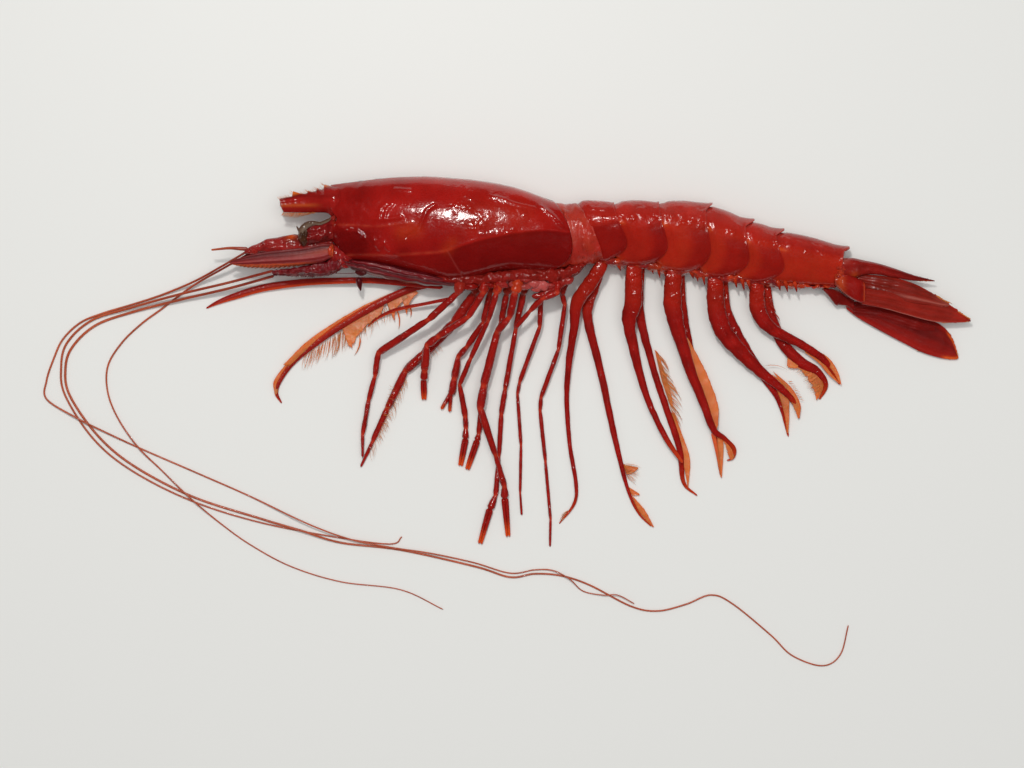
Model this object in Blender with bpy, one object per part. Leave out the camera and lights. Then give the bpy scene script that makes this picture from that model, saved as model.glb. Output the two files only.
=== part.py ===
"""A raw deep-water shrimp lying on its right side, built shell plate by shell plate and limb by limb.

Units below are millimetres until an object is made. +X runs to the tail, +Y to the back of the animal and
+Z up from the surface it lies on. The origin is the flat spot under the carapace that it rests on.
"""

import math

import bmesh
import bpy
from mathutils import Vector

MM = 0.001
GAP = 0.3

# Carapace: the margins are arcs, the back and belly lines run through a few stations along its length.
CARAPACE_FRONT = -50.5
CARAPACE_HIND = 21.5
CARAPACE_WIDTH = 20.0
HIND_ARC_HEIGHT = -4.0
HIND_ARC_UP = (14.5, 5.3)
HIND_ARC_DOWN = (8.0, 5.6)
BACK_LINE = ((0, 15), (0.1, 15.9), (0.25, 17), (0.45, 17.7), (0.65, 17.2), (0.85, 15), (1, 10.5))
BELLY_LINE = ((0, -8), (0.1, -8), (0.25, -9.5), (0.45, -12.5), (0.6, -14), (0.78, -11.3), (1, -11.7))
WIDTH_LINE = ((0, 0.45), (0.1, 0.62), (0.25, 0.82), (0.45, 0.96), (0.65, 1), (0.85, 0.92), (1, 0.76))
CARAPACE_SINK = 0.6
CARAPACE_AXIS = CARAPACE_WIDTH / 2 - CARAPACE_SINK
CARAPACE_RINGS = 15
BODY_SIDES = 20
CHEEK_SLANT = 4.6
SLANT_FADE = 8
ROUNDNESS = 0.9

# Rostrum: a thin toothed blade, broken off square.
ROSTRUM_END = -66.0
ROSTRUM_ROOT = -44.0
ROSTRUM_THICKNESS = 3.0
ROSTRUM_LOW = 6.7
ROSTRUM_BREAK = (-64.5, ROSTRUM_LOW)
ROSTRUM_SINK = 0.5
ROSTRUM_CREST = ((-65, 11.4), (-61, 11.8), (-56, 13.2), (-52, 14.6), (-44, 15))
TEETH = ((-61.5, 13.2), (-57, 14.3), (-54.5, 15.1), (-52, 15.9))
TOOTH_LENGTH = 2.4

# Abdomen: where one shell ring ends and the next begins, as back point, belly point, pleuron reach
# and width.
RING_EDGES = (
    ((22.5, 10.2), (28.5, -7.8), -1.6, 15.0),
    ((34.0, 10.0), (33.4, -7.6), 4.2, 16.0),
    ((47.5, 10.2), (45.4, -9.3), 3.8, 15.6),
    ((61.5, 9.4), (58.6, -11.2), 3.2, 14.6),
    ((73.5, 4.4), (69.6, -12.8), 3.4, 13.2),
    ((82.5, 1.6), (80.6, -14.2), 3.6, 12.0),
    ((103.0, -3.6), (101.5, -15.2), 0.0, 9.6),
)
PLEURON_POWER = 2.0
RING_SQUARENESS = 0.7
SIDE_FALL = 0.3
TUCK = 0.93
SEAM = 0.5
HUMP = 0.5
RING_STOPS = ((0.0, TUCK, 0), (0.3, 0.98, HUMP), (0.7, 1.0, HUMP), (1.0, 0.99, HUMP / 2))

# Neck: the soft collar between carapace and abdomen.
NECK_HIGH = 8.5
NECK_LOW = -7.0
NECK_WIDTH = 12.5
NECK_SIDES = 16

# Each limb is its root (x, y, z, width) and its articles (length, heading in degrees, far z, far width).
LEG_ROOT_Y = -17.2
HIGH = 12.5
LOW = 6.0
JOINTED = {
    "maxilliped_left": ((-12.5, LEG_ROOT_Y, 12, 2), (
        (12, 222, 9.5, 2), (18, 213, 4.2, 2.1), (7, 261, 2.6, 1.5), (7.5, 255, 1.5, 1.5),
        (10.5, 260, 1.7, 1.3), (7, 270, 2.1, 0.6))),
    "maxilliped_right": ((-7.5, LEG_ROOT_Y, LOW, 2.8), (
        (11, 235, 4.2, 3.2), (13, 225, 2.4, 2.8), (7.5, 223, 1.6, 2.4), (12.5, 244, 1.1, 2),
        (11, 246, 1.1, 1.4), (8.5, 245, 0.6, 0.6))),
    "claw_leg_1_left": ((-5, LEG_ROOT_Y, HIGH, 2.2), (
        (8.5, 238, 10.6, 1.8), (10.5, 213, 7.6, 2.2), (4.5, 217, 6.6, 2.2), (7.5, 264, 4, 2.6),
        (3.3, 265, 2.4, 2), (5.7, 271, 1.1, 1.6))),
    "claw_leg_1_right": ((-3, LEG_ROOT_Y, LOW, 2), (
        (9, 257, 4.6, 1.8), (8.7, 236, 3, 1.8), (4, 228, 2.3, 1.8), (6.7, 260, 1.4, 2.4),
        (5.5, 259, 1.1, 2))),
    "claw_leg_2_left": ((-1, LEG_ROOT_Y, HIGH, 2), (
        (8.5, 253, 10.2, 1.5), (12.6, 245, 5.8, 1.5), (8.5, 247, 3.5, 1.5), (9.7, 280, 1.6, 1.9),
        (3.6, 272, 1.3, 1.6), (3.6, 268, 1.2, 2.2), (8, 259, 1, 1.6))),
    "claw_leg_2_right": ((2, LEG_ROOT_Y, LOW, 2), (
        (9, 259, 4.2, 1.8), (13.4, 254, 2.2, 1.8), (13.7, 260, 1.4, 1.8), (7, 265, 1.2, 1.5),
        (2.5, 256, 1.2, 2.2), (9, 251, 1, 1.6))),
    "claw_leg_3_left": ((4.5, LEG_ROOT_Y, HIGH, 2.5), (
        (7.5, 257, 10.4, 2), (5.5, 229, 8.2, 2.2), (16.7, 256, 4.9, 2.5), (7, 261, 4.2, 2.5),
        (14.8, 288, 3.3, 1.5), (9.7, 286, 2, 1.9), (4, 272, 1.4, 2.4), (11.4, 275, 1, 1.6))),
    "claw_leg_3_right": ((7, LEG_ROOT_Y, LOW, 2.2), (
        (11, 258, 4.3, 1.6), (18.3, 260, 1.7, 1.6), (7.6, 261, 1.2, 1.7), (12.6, 267, 0.8, 1.3),
        (12, 265, 1, 1.6), (4.8, 248, 1.2, 2.4), (10.6, 254, 1, 1.6))),
    "walking_leg_4_left": ((17, LEG_ROOT_Y, 12, 2.2), (
        (4.4, 200, 11.5, 2), (5.5, 225, 9.8, 1.5), (6.8, 229, 7.2, 1.3))),
    "walking_leg_4_right": ((12.3, LEG_ROOT_Y, LOW, 1.8), (
        (10, 268, 4.3, 1.4), (17.8, 250, 1.2, 1.3), (3.6, 260, 0.9, 1.1), (15.3, 274, 0.6, 1),
        (14.4, 269, 0.6, 0.8), (6.9, 274, 0.5, 0.6))),
    "walking_leg_5_right": ((18.5, LEG_ROOT_Y, LOW, 1.8), (
        (3.5, 286, 5.4, 1.5), (13.6, 262, 3.6, 1.4), (15.3, 250, 1.1, 1.4), (4, 266, 0.8, 1.2),
        (15.4, 276, 0.6, 1.1), (17.5, 275, 0.6, 0.9), (8.4, 269, 0.5, 0.6))),
}
LASHES = {
    "mouth_lash_long": ((-18, -16, 6.5, 1.4), (
        (10, 172, 5.5, 1.7), (11, 175, 4, 1.8), (11, 180.5, 2.8, 2), (10, 183, 2, 2.2),
        (11.5, 188, 1.2, 2.3),
        (9, 196, 0.8, 2), (5.3, 200, 0.7, 1.3), (4, 207, 0.5, 0.6))),
    "mouth_lash_plumed": ((-21, -15.5, 2.6, 1.8), (
        (8, 193, 2.4, 2), (10, 207, 1.8, 2.2), (12.2, 211, 1.3, 2.1), (9, 213, 0.9, 2), (9.6, 219, 0.8, 2),
        (5.6, 234, 0.8, 1.8), (3.7, 256, 0.7, 1.5), (4, 283, 0.5, 0.7))),
    "mouth_lash_short": ((-14, -18.6, 5.5, 1.1), (
        (8.3, 192, 4.2, 1), (9.2, 190, 2.6, 1), (6.5, 202, 1.3, 1), (4.3, 219, 0.6, 0.5))),
}
PLEOPODS = {
    "pleopod_1_left": ((30, -9.6, 8.6, 4), (
        (6, 236, 8, 4.3), (6.7, 238, 6.4, 3.9), (7.5, 263, 4.8, 2.6), (11.2, 262, 2.8, 2),
        (10.5, 267, 1.4, 1.5),
        (13.5, 274, 1, 1.3), (12, 279, 0.9, 1.2), (6, 264, 0.8, 0.9), (7.5, 233, 0.5, 0.4))),
    "pleopod_1_right": ((30, -10.5, 4.5, 3), (
        (10.5, 251, 3.4, 3.2), (5.4, 270, 2.9, 2.8), (16.4, 284, 1.6, 2.2), (18.4, 282, 1, 1.8),
        (16.4, 284, 0.8, 1.1), (8.2, 294, 0.6, 0.7), (5.7, 313, 0.5, 0.4))),
    "pleopod_2_left": ((40, -11, 8.4, 5), (
        (9.2, 269, 7.2, 5.4), (5.2, 257, 6.2, 4.2), (7.6, 279, 4.8, 3), (14, 285, 3.2, 2.1),
        (9.4, 292, 2.9, 1.8),
        (8.2, 298, 2.8, 1.6), (7.3, 305, 2.6, 0.8))),
    "pleopod_2_right": ((42, -11, 4.2, 3), (
        (12, 270, 2.8, 2.8), (17, 284, 1.4, 2), (12.9, 288, 1, 2), (12.9, 288, 0.8, 2), (10, 277, 0.7, 1.2),
        (5.9, 315, 0.5, 0.4))),
    "pleopod_3_left": ((52, -11.8, 8.0, 5), (
        (8.5, 268, 6.8, 5.4), (9, 282, 5.8, 4.2), (12, 288, 4.2, 3.2), (9.7, 292, 3.2, 2.6),
        (9, 291, 2.6, 2),
        (4.7, 320, 1.8, 1.4), (4, 312, 1.2, 1.3), (2.7, 264, 0.9, 0.9), (2, 207, 0.7, 0.4))),
    "pleopod_3_right": ((54, -12, 4, 3), (
        (11.5, 274, 2.3, 3.2), (13, 283, 1.4, 2.4), (15.6, 286, 1, 2.1), (8.8, 288, 0.8, 2),
        (13, 278, 0.5, 0.5))),
    "pleopod_4_left": ((64.5, -14.8, 7.2, 5), (
        (7.5, 272, 6.2, 5.4), (7.3, 289, 5.6, 5.2), (8.7, 311, 4.2, 4.4), (8.3, 316, 3, 3.2),
        (7.7, 321, 2.2, 2.2),
        (5.7, 313, 1.4, 1.6), (5, 287, 0.7, 0.6))),
    "pleopod_4_right": ((67, -14.8, 3.6, 3.2), (
        (8.6, 277, 2.4, 3.8), (10.9, 298, 1.6, 3.6), (11.2, 304, 1, 2.4), (8.9, 303, 0.8, 1.8),
        (11, 284, 0.5, 0.5))),
    "pleopod_5_left": ((77, -16, 6.4, 4.4), (
        (6.4, 274, 5.6, 4.8), (6.7, 306, 4.9, 3.8), (9.4, 333, 3.5, 2.5), (7.8, 328, 2.2, 2.3),
        (5.3, 313, 1.3, 1.9),
        (5.1, 298, 0.6, 0.6))),
    "pleopod_5_right": ((80, -16.4, 3.2, 3), (
        (7.6, 281, 2.2, 3.3), (8.9, 294, 1.6, 3.4), (7.7, 312, 1.2, 3.4), (6.2, 331, 1, 2.4),
        (4.8, 300, 0.8, 1.6),
        (4.6, 247, 0.5, 0.5))),
}
FINGER = ((6, 266, 1, 0.6), (6, 240, 1, 0.6))
FINGER_ROOT_WIDTH = 1.4
FINGER_SINK = 1.0

# Antennal threads: hand-laid routes over the surface, arching over one another where they cross.
THREADS = {
    "antenna_left": (0.36, (
        (-67.5, -10.6, 11), (-81, -14, 7.4), (-96, -17.4, 3.8), (-111, -21.4, 1.6), (-123, -25.2, 0.6),
        (-130.5, -32, 0.4), (-132.3, -39.5, 0.4), (-131, -48, 0.4), (-122.5, -61, 0.4), (-111, -70.5, 0.4),
        (-93, -79.6, 0.4), (-72, -86.2, 0.4), (-48, -90.8, 0.4), (-33, -92.6, 0.4), (-29.5, -90.4, 0.4))),
    "antenna_right": (0.36, (
        (-67.5, -12, 7.2), (-81, -15.6, 4.4), (-96, -19, 2), (-111, -22.8, 0.6), (-122, -26.8, 0.4),
        (-129, -33.4, 0.4), (-131, -40, 0.4), (-129.6, -48, 0.4), (-121.2, -60, 0.4), (-110.2, -69.2, 0.4),
        (-92.5, -78.4, 0.4), (-72, -85, 0.6), (-60, -88.5, 1.4), (-48, -92.2, 0.5), (-30, -94.4, 0.4),
        (-7.5, -99.4, 0.4), (3, -102.6, 0.4), (10.5, -101.6, 0.4), (18.5, -102.2, 0.4), (27, -105, 0.4),
        (39.5, -111.4, 0.4), (47.5, -112.8, 0.4), (56, -110.8, 0.4), (63.5, -108, 0.4), (70, -110.6, 0.4),
        (81.5, -120, 0.4), (88, -126.2, 0.4), (97, -129.4, 0.4), (102.5, -126, 0.4), (105, -117, 0.4))),
    "antennule_left": (0.3, (
        (-76, -4.8, 10.8), (-83, -9, 7.2), (-92, -13.6, 3), (-102, -17.6, 0.7), (-111, -20.5, 0.4),
        (-120, -23.2, 0.4), (-126.6, -26, 0.4), (-131.8, -31, 0.4), (-134.6, -37, 0.4), (-137, -43.5, 0.4),
        (-136.6, -49, 0.5), (-127.5, -54.6, 1.4), (-120, -58.4, 1), (-108, -64, 0.4), (-90, -71.8, 0.4),
        (-75, -78.4, 0.5), (-58, -86.4, 2.2), (-45, -91.2, 1.4), (-33, -93.6, 1.3), (-21, -95.4, 0.8),
        (-8, -98.2, 0.5), (3, -101.4, 0.4), (10.5, -100.4, 0.4), (16, -100.6, 0.9), (21, -103.2, 1.4),
        (25, -106.8, 0.4), (31, -108, 0.9), (35.5, -108, 1.2), (40.5, -110.6, 0.8))),
    "antennule_right": (0.3, (
        (-76, -6.2, 8.6), (-83, -9.8, 6.2), (-91, -14, 2.4), (-97, -18, 0.4), (-102, -21.8, 0.4),
        (-108, -26.2, 0.4),
        (-114, -32, 0.4), (-118.2, -39, 0.4), (-118.2, -47, 0.4), (-115, -55, 0.5), (-109, -63.4, 1.3),
        (-102, -70.4, 0.6), (-93, -79, 1.4), (-84, -86.6, 0.5), (-75, -93, 0.4), (-63, -99.4, 0.4),
        (-48, -104, 0.4), (-30, -106.4, 0.4), (-17, -112.4, 0.4))),
    "antennule_short_left": (0.32, ((-76, -3.7, 11.2), (-81, -3.9, 11), (-86, -4.4, 10.4))),
}
THREAD_TIP = 0.45
THREAD_STEPS = 2
LIMB_STEPS = 2
LIMB_SIDES = 6
LEG_FLATNESS = 0.9
LASH_FLATNESS = 0.5
PLEOPOD_FLATNESS = 0.42
JOINT_PINCH = 0.85

# Head parts and tail parts, as stations (x, y, z, height, width) from the body outwards.
HEAD = {
    "eyestalk_left": (
        (-51, 0.2, 12.8, 5.6, 4), (-53.5, 0.2, 13.6, 6.2, 4.4), (-56.2, -0.2, 14.2, 4.4, 3.8)),
    "eyestalk_right": ((-51, 0.2, 6.4, 5.6, 4), (-53.5, 0.2, 5.6, 6.2, 4.4), (-56.2, -0.2, 5, 4.4, 3.8)),
    "antennule_base_left": (
        (-51, -4.6, 11, 5, 2.4), (-62, -4.2, 11, 5, 2.4), (-70, -3.8, 10.9, 4.2, 2.2),
        (-75.5, -4.6, 10.8, 2.2, 1.6)),
    "antennule_base_right": (
        (-51, -4.6, 8.3, 5, 2.4), (-62, -4.6, 8.3, 5, 2.4), (-70, -4.8, 8.4, 4.2, 2.2),
        (-75.5, -5.6, 8.6, 2, 1.6)),
    "antennal_scale_left": (
        (-51, -6.4, 13, 5, 1), (-60, -6.5, 12.9, 5.6, 0.9), (-70, -6.3, 12.6, 5, 0.8),
        (-80.4, -8, 12, 1, 0.6)),
    "antennal_scale_right": (
        (-51, -6.4, 6.3, 5, 1), (-60, -6.5, 6.3, 5.6, 0.9), (-70, -6.5, 5.8, 5, 0.8),
        (-80, -8, 5.2, 1, 0.6)),
    "antenna_base_left": (
        (-51.2, -10.8, 11.6, 2.6, 3), (-58, -10.8, 11.5, 3, 3.2), (-66.8, -10.8, 11, 1.8, 2)),
    "antenna_base_right": (
        (-51.2, -11, 7.8, 2.4, 3), (-58, -11.4, 7.6, 3, 3.2), (-66.8, -11.8, 7.2, 1.8, 2)),
}
TAIL = {
    "telson": (
        (103.6, -9.4, 5.2, 5.2, 4), (108, -9.4, 5.2, 4.8, 3.6), (118, -11.6, 5, 2.8, 2),
        (130.5, -13.8, 4.6, 0.6, 0.6)),
    "uropod_base_left": ((103, -16.6, 7, 4.4, 2.6), (106, -16, 7.2, 6, 2.6), (108.6, -16, 7.2, 6.4, 2)),
    "uropod_base_right": (
        (102.6, -20.6, 2.6, 1.4, 2.4), (105, -21.6, 2.4, 3, 2.4), (107.6, -22.8, 2, 3.8, 2)),
    "uropod_inner_left": (
        (109, -14, 7, 3.4, 1), (115, -14.8, 6.8, 4.2, 0.9), (124, -17, 6, 4, 0.8),
        (134.6, -19.6, 5, 0.8, 0.6)),
    "uropod_outer_left": (
        (109, -18, 8, 4.6, 1), (115, -19, 8, 5.6, 0.9), (126, -22, 7.2, 5.6, 0.8),
        (136, -23.8, 5.6, 3.4, 0.7),
        (141.6, -25.4, 4.6, 0.8, 0.6)),
    "uropod_inner_right": (
        (108, -22, 1.9, 3, 0.8), (115, -23.4, 1.9, 5, 0.7), (125, -27, 1.8, 5, 0.7),
        (132, -29, 1.7, 0.8, 0.6)),
    "uropod_outer_right": (
        (108, -24, 0.7, 4, 0.9), (116, -27, 0.6, 7, 0.8), (126, -30.6, 0.6, 8.6, 0.8),
        (134, -32.6, 0.6, 8, 0.8),
        (138.2, -36.8, 0.6, 0.8, 0.6)),
}
TRUNK = {
    "thorax": (
        (-17, -15, 9, 1.2, 6), (-10, -15.6, 9, 1.6, 9), (-3, -14.5, 9, 2.8, 10), (3, -13.9, 9, 3.8, 10),
        (12, -14.3, 9, 3.4, 9), (19, -14.2, 8.6, 3.2, 7)),
}
EYES = {"eye_left": (-58.8, -0.8, 14.5), "eye_right": (-58.8, -0.8, 4.8)}
EYE_SIZE = (4.0, 5.0, 4.4)
EYE_SEGMENTS = (12, 8)
STATION_SIDES = 8

SHELL_RED = (0.42, 0.022, 0.016)
DEEP_RED = (0.24, 0.009, 0.008)
LIMB_RED = (0.30, 0.022, 0.015)
THREAD_BROWN = (0.24, 0.07, 0.03)
EYE_DARK = (0.03, 0.015, 0.012)
SHELL_ROUGHNESS = 0.25


def collection(name):
    made = bpy.data.collections.new(name)
    bpy.context.scene.collection.children.link(made)
    return made


def clear_scene():
    for obj in list(bpy.data.objects):
        bpy.data.objects.remove(obj, do_unlink=True)


def material(name, colour):
    made = bpy.data.materials.new(name)
    made.use_nodes = True
    shader = made.node_tree.nodes["Principled BSDF"]
    shader.inputs["Base Color"].default_value = (*colour, 1)
    shader.inputs["Roughness"].default_value = SHELL_ROUGHNESS
    shader.inputs["Metallic"].default_value = 0
    return made


def place(name, data, colour, group):
    """Makes one named object with its own material in the given collection."""
    obj = bpy.data.objects.new(name, data)
    data.materials.append(material(name, colour))
    group.objects.link(obj)
    return obj


def along(line, at):
    """Reads a smooth line through (position, value) stations, eased between neighbours."""
    last = len(line) - 1
    for i in range(last):
        if at <= line[i + 1][0] or i == last - 1:
            break
    before, here, there, after = line[max(i - 1, 0)], line[i], line[i + 1], line[min(i + 2, last)]
    span = there[0] - here[0]
    t = min(max((at - here[0]) / span, 0), 1)
    leave = (there[1] - before[1]) / (there[0] - before[0]) * span
    arrive = (after[1] - here[1]) / (after[0] - here[0]) * span
    rise = (2 * t**3 - 3 * t**2 + 1) * here[1] + (3 * t**2 - 2 * t**3) * there[1]
    return rise + (t**3 - 2 * t**2 + t) * leave + (t**3 - t**2) * arrive


def smooth(stations, steps):
    """Puts points between stations on one smooth curve, and keeps every station."""
    out = []
    last = len(stations) - 1
    for part in range(len(stations[0])):
        line = [(i, station[part]) for i, station in enumerate(stations)]
        out.append([along(line, n / steps) for n in range(last * steps + 1)])
    return list(zip(*out))


def signed_power(value, power):
    return math.copysign(abs(value) ** power, value)


def oval(x_of, low, high, z, width, sides, squareness=ROUNDNESS, fall=0.0):
    """A ring round the body, from low to high, which never reaches under the surface.

    Its sides fall in towards the belly by the given share.
    """
    ring = []
    for n in range(sides):
        turn = 2 * math.pi * n / sides
        lift = signed_power(math.cos(turn), ROUNDNESS)
        side = signed_power(math.sin(turn), squareness) * (1 - fall * (1 - lift) / 2)
        y = (low + high) / 2 + (high - low) / 2 * lift
        ring.append(Vector((x_of(y), y, max(z + width / 2 * side, 0))) * MM)
    return ring


def loft(name, rings, colour, group):
    """Skins unlike rings, one after another, and closes both ends with fans of triangles."""
    bm = bmesh.new()
    loops = [[bm.verts.new(point) for point in ring] for ring in rings]
    for one, two in zip(loops, loops[1:]):
        for n in range(len(one)):
            m = (n + 1) % len(one)
            bm.faces.new((one[n], one[m], two[m], two[n]))
    caps = []
    for loop in (loops[0], loops[-1]):
        caps += bmesh.ops.contextual_create(bm, geom=loop)["faces"]
    bmesh.ops.poke(bm, faces=caps)
    bmesh.ops.recalc_face_normals(bm, faces=bm.faces)
    data = bpy.data.meshes.new(name)
    bm.to_mesh(data)
    bm.free()
    data.shade_smooth()
    return place(name, data, colour, group)


def hind_margin(y):
    """The carapace's rear edge, an arc that bulges backwards."""
    reach, depth = HIND_ARC_UP if y > HIND_ARC_HEIGHT else HIND_ARC_DOWN
    return CARAPACE_HIND - depth * ((y - HIND_ARC_HEIGHT) / reach) ** 2


def front_slant(y, u):
    """The front edge slants back below the eye, and the slant dies out over the first rings."""
    down = min(max(y / BELLY_LINE[0][1], 0), 1)
    return CHEEK_SLANT * down * (1 - u) ** SLANT_FADE


def make_carapace(group, cutters):
    """The shell over head and gills, ring by ring from the front edge to the hind margin."""
    rings = []
    for n in range(CARAPACE_RINGS):
        u = n / (CARAPACE_RINGS - 1)
        width = CARAPACE_WIDTH * along(WIDTH_LINE, u)

        def x_of(y, u=u):
            return CARAPACE_FRONT + (hind_margin(y) - CARAPACE_FRONT) * u + front_slant(y, u)

        low, high = along(BELLY_LINE, u), along(BACK_LINE, u)
        rings.append(oval(x_of, low, high, CARAPACE_AXIS, width, BODY_SIDES))
    carapace = loft("carapace", rings, SHELL_RED, group)
    rostrum = make_rostrum(cutters)
    join = carapace.modifiers.new("rostrum", "BOOLEAN")
    join.operation = "UNION"
    join.object = rostrum
    return carapace


def make_rostrum(cutters):
    """The toothed blade as a flat outline with a thickness, turned into a mesh so that it can be joined."""
    outline = [(ROSTRUM_ROOT, ROSTRUM_LOW), ROSTRUM_BREAK, (ROSTRUM_END, ROSTRUM_CREST[0][1])]
    for tip_x, tip_y in TEETH:
        outline.append((tip_x - TOOTH_LENGTH / 4, along(ROSTRUM_CREST, tip_x - TOOTH_LENGTH / 4)))
        outline.append((tip_x, tip_y))
        outline.append((tip_x + TOOTH_LENGTH / 2, along(ROSTRUM_CREST, tip_x + TOOTH_LENGTH / 2)))
    outline.append((ROSTRUM_ROOT, ROSTRUM_CREST[-1][1] - ROSTRUM_SINK))
    curve = bpy.data.curves.new("rostrum_outline", "CURVE")
    curve.dimensions = "2D"
    curve.fill_mode = "BOTH"
    curve.extrude = ROSTRUM_THICKNESS / 2 * MM
    spline = curve.splines.new("POLY")
    spline.points.add(len(outline) - 1)
    for point, (x, y) in zip(spline.points, outline):
        point.co = (x * MM, y * MM, 0, 1)
    spline.use_cyclic_u = True
    obj = place("rostrum_blade", curve, SHELL_RED, cutters)
    obj.location.z = CARAPACE_AXIS * MM
    return as_mesh(obj, cutters)


def as_mesh(curve_object, group):
    """Replaces a curve object by a welded mesh object of the same name, which a Boolean can use."""
    bpy.context.view_layer.update()
    graph = bpy.context.evaluated_depsgraph_get()
    evaluated = curve_object.evaluated_get(graph)
    data = bpy.data.meshes.new_from_object(evaluated)
    place_of = evaluated.matrix_world.copy()
    name = curve_object.name
    bpy.data.objects.remove(curve_object)
    bm = bmesh.new()
    bm.from_mesh(data)
    bmesh.ops.remove_doubles(bm, verts=bm.verts, dist=0.00001)
    bmesh.ops.recalc_face_normals(bm, faces=bm.faces)
    bm.to_mesh(data)
    bm.free()
    obj = bpy.data.objects.new(name, data)
    obj.matrix_world = place_of
    group.objects.link(obj)
    return obj


def mark_as_helper(group):
    for obj in group.objects:
        obj.hide_render = True
        obj.display_type = "WIRE"


def ring_edge(t):
    """Shell ring edges blended along the abdomen: t counts rings from the front."""
    n = min(int(t), len(RING_EDGES) - 2)
    f = t - n
    one, two = RING_EDGES[n], RING_EDGES[n + 1]
    back = Vector(one[0]).lerp(Vector(two[0]), f)
    belly = Vector(one[1]).lerp(Vector(two[1]), f)
    return back, belly, one[2] + (two[2] - one[2]) * f, one[3] + (two[3] - one[3]) * f


def abdomen_ring(t, shift, size, hump):
    """One oval round the abdomen: its edge leans from back to belly, and the pleuron swings it back."""
    back, belly, reach, width = ring_edge(t)

    def x_of(y):
        down = min(max((back.y - y) / (back.y - belly.y), 0), 1)
        return back.x + (belly.x - back.x) * down + reach * math.sin(math.pi * down**PLEURON_POWER) + shift

    middle = (back.y + belly.y) / 2
    half = (back.y - belly.y) / 2 * size
    low, high = middle - half, middle + half + hump
    return oval(x_of, low, high, width / 2, width * size, BODY_SIDES, RING_SQUARENESS, SIDE_FALL)


def make_abdomen(group):
    """Six shell rings, each tucked a little into the one before it."""
    for n in range(len(RING_EDGES) - 1):
        rings = []
        for share, size, hump in RING_STOPS:
            rings.append(abdomen_ring(n + share, SEAM * (1 - share), size, hump))
        loft(f"somite_{n + 1}", rings, SHELL_RED, group)


def make_neck(group):
    """The soft membrane between carapace and abdomen."""
    (back_x, back_y), (belly_x, belly_y), reach, width = RING_EDGES[0]
    height = width / 2 + GAP

    def front(y):
        return hind_margin(y) + 2 * GAP

    def back(y):
        down = (back_y - y) / (back_y - belly_y)
        return back_x + (belly_x - back_x) * down + reach * math.sin(math.pi * down**PLEURON_POWER) - GAP

    rings = [oval(edge, NECK_LOW, NECK_HIGH, height, NECK_WIDTH, NECK_SIDES) for edge in (front, back)]
    loft("neck_membrane", rings, LIMB_RED, group)


def make_stations(group, table, colour):
    """Head, trunk and tail parts: an oval skinned through stations that lead away from the body."""
    for name, stations in table.items():
        rings = []
        for x, y, z, height, width in stations:
            low, high = y - height / 2, y + height / 2
            rings.append(oval(lambda _, x=x: x, low, high, z, width, STATION_SIDES))
        loft(name, rings, colour, group)


def make_eyes(group):
    for name, (x, y, z) in EYES.items():
        bm = bmesh.new()
        bmesh.ops.create_uvsphere(bm, u_segments=EYE_SEGMENTS[0], v_segments=EYE_SEGMENTS[1], radius=0.5)
        bmesh.ops.scale(bm, vec=Vector(EYE_SIZE) * MM, verts=bm.verts)
        bmesh.ops.translate(bm, vec=Vector((x, y, z)) * MM, verts=bm.verts)
        data = bpy.data.meshes.new(name)
        bm.to_mesh(data)
        bm.free()
        data.shade_smooth()
        place(name, data, EYE_DARK, group)


def walk(root, articles):
    """Stations (x, y, z, width) down a limb, one at each joint."""
    x, y, _, _ = root
    stations = [root]
    for length, heading, z, width in articles:
        x += length * math.cos(math.radians(heading))
        y += length * math.sin(math.radians(heading))
        stations.append((x, y, z, width))
    return stations


def with_joints(stations):
    """Thickens every article in its middle and pinches it at its joints."""
    out = [stations[0]]
    for one, two in zip(stations, stations[1:]):
        middle = [(a + b) / 2 for a, b in zip(one, two)]
        out.append((middle[0], middle[1], middle[2], max(one[3], two[3])))
        out.append((two[0], two[1], two[2], two[3] * JOINT_PINCH))
    return out


def oval_profile(name, flatness, cutters):
    """A closed outline one millimetre wide, which a limb's curve sweeps and scales."""
    curve = bpy.data.curves.new(name, "CURVE")
    curve.dimensions = "2D"
    spline = curve.splines.new("POLY")
    spline.points.add(LIMB_SIDES - 1)
    for n, point in enumerate(spline.points):
        turn = -2 * math.pi * (n + 0.5) / LIMB_SIDES
        point.co = (math.cos(turn) * MM / 2, math.sin(turn) * flatness * MM / 2, 0, 1)
    spline.use_cyclic_u = True
    obj = bpy.data.objects.new(name, curve)
    cutters.objects.link(obj)
    return obj


def swept(name, stations, profile, colour, group):
    """A curve through the stations, upright, with the profile scaled to each station's width."""
    curve = bpy.data.curves.new(name, "CURVE")
    curve.dimensions = "3D"
    curve.twist_mode = "Z_UP"
    curve.bevel_mode = "OBJECT"
    curve.bevel_object = profile
    curve.use_fill_caps = True
    spline = curve.splines.new("POLY")
    spline.points.add(len(stations) - 1)
    for point, (x, y, z, width) in zip(spline.points, stations):
        point.co = (x * MM, y * MM, z * MM, 1)
        point.radius = width
    return place(name, curve, colour, group)


def make_limbs(group, cutters):
    round_leg = oval_profile("leg_profile", LEG_FLATNESS, cutters)
    lash = oval_profile("lash_profile", LASH_FLATNESS, cutters)
    blade = oval_profile("pleopod_profile", PLEOPOD_FLATNESS, cutters)
    for name, (root, articles) in JOINTED.items():
        swept(name, with_joints(walk(root, articles)), round_leg, LIMB_RED, group)
    for name, (root, articles) in LASHES.items():
        swept(name, walk(root, articles), lash, LIMB_RED, group)
    for name, (root, articles) in PLEOPODS.items():
        swept(name, smooth(walk(root, articles), LIMB_STEPS), blade, LIMB_RED, group)
    open_claw(group, round_leg)


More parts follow.
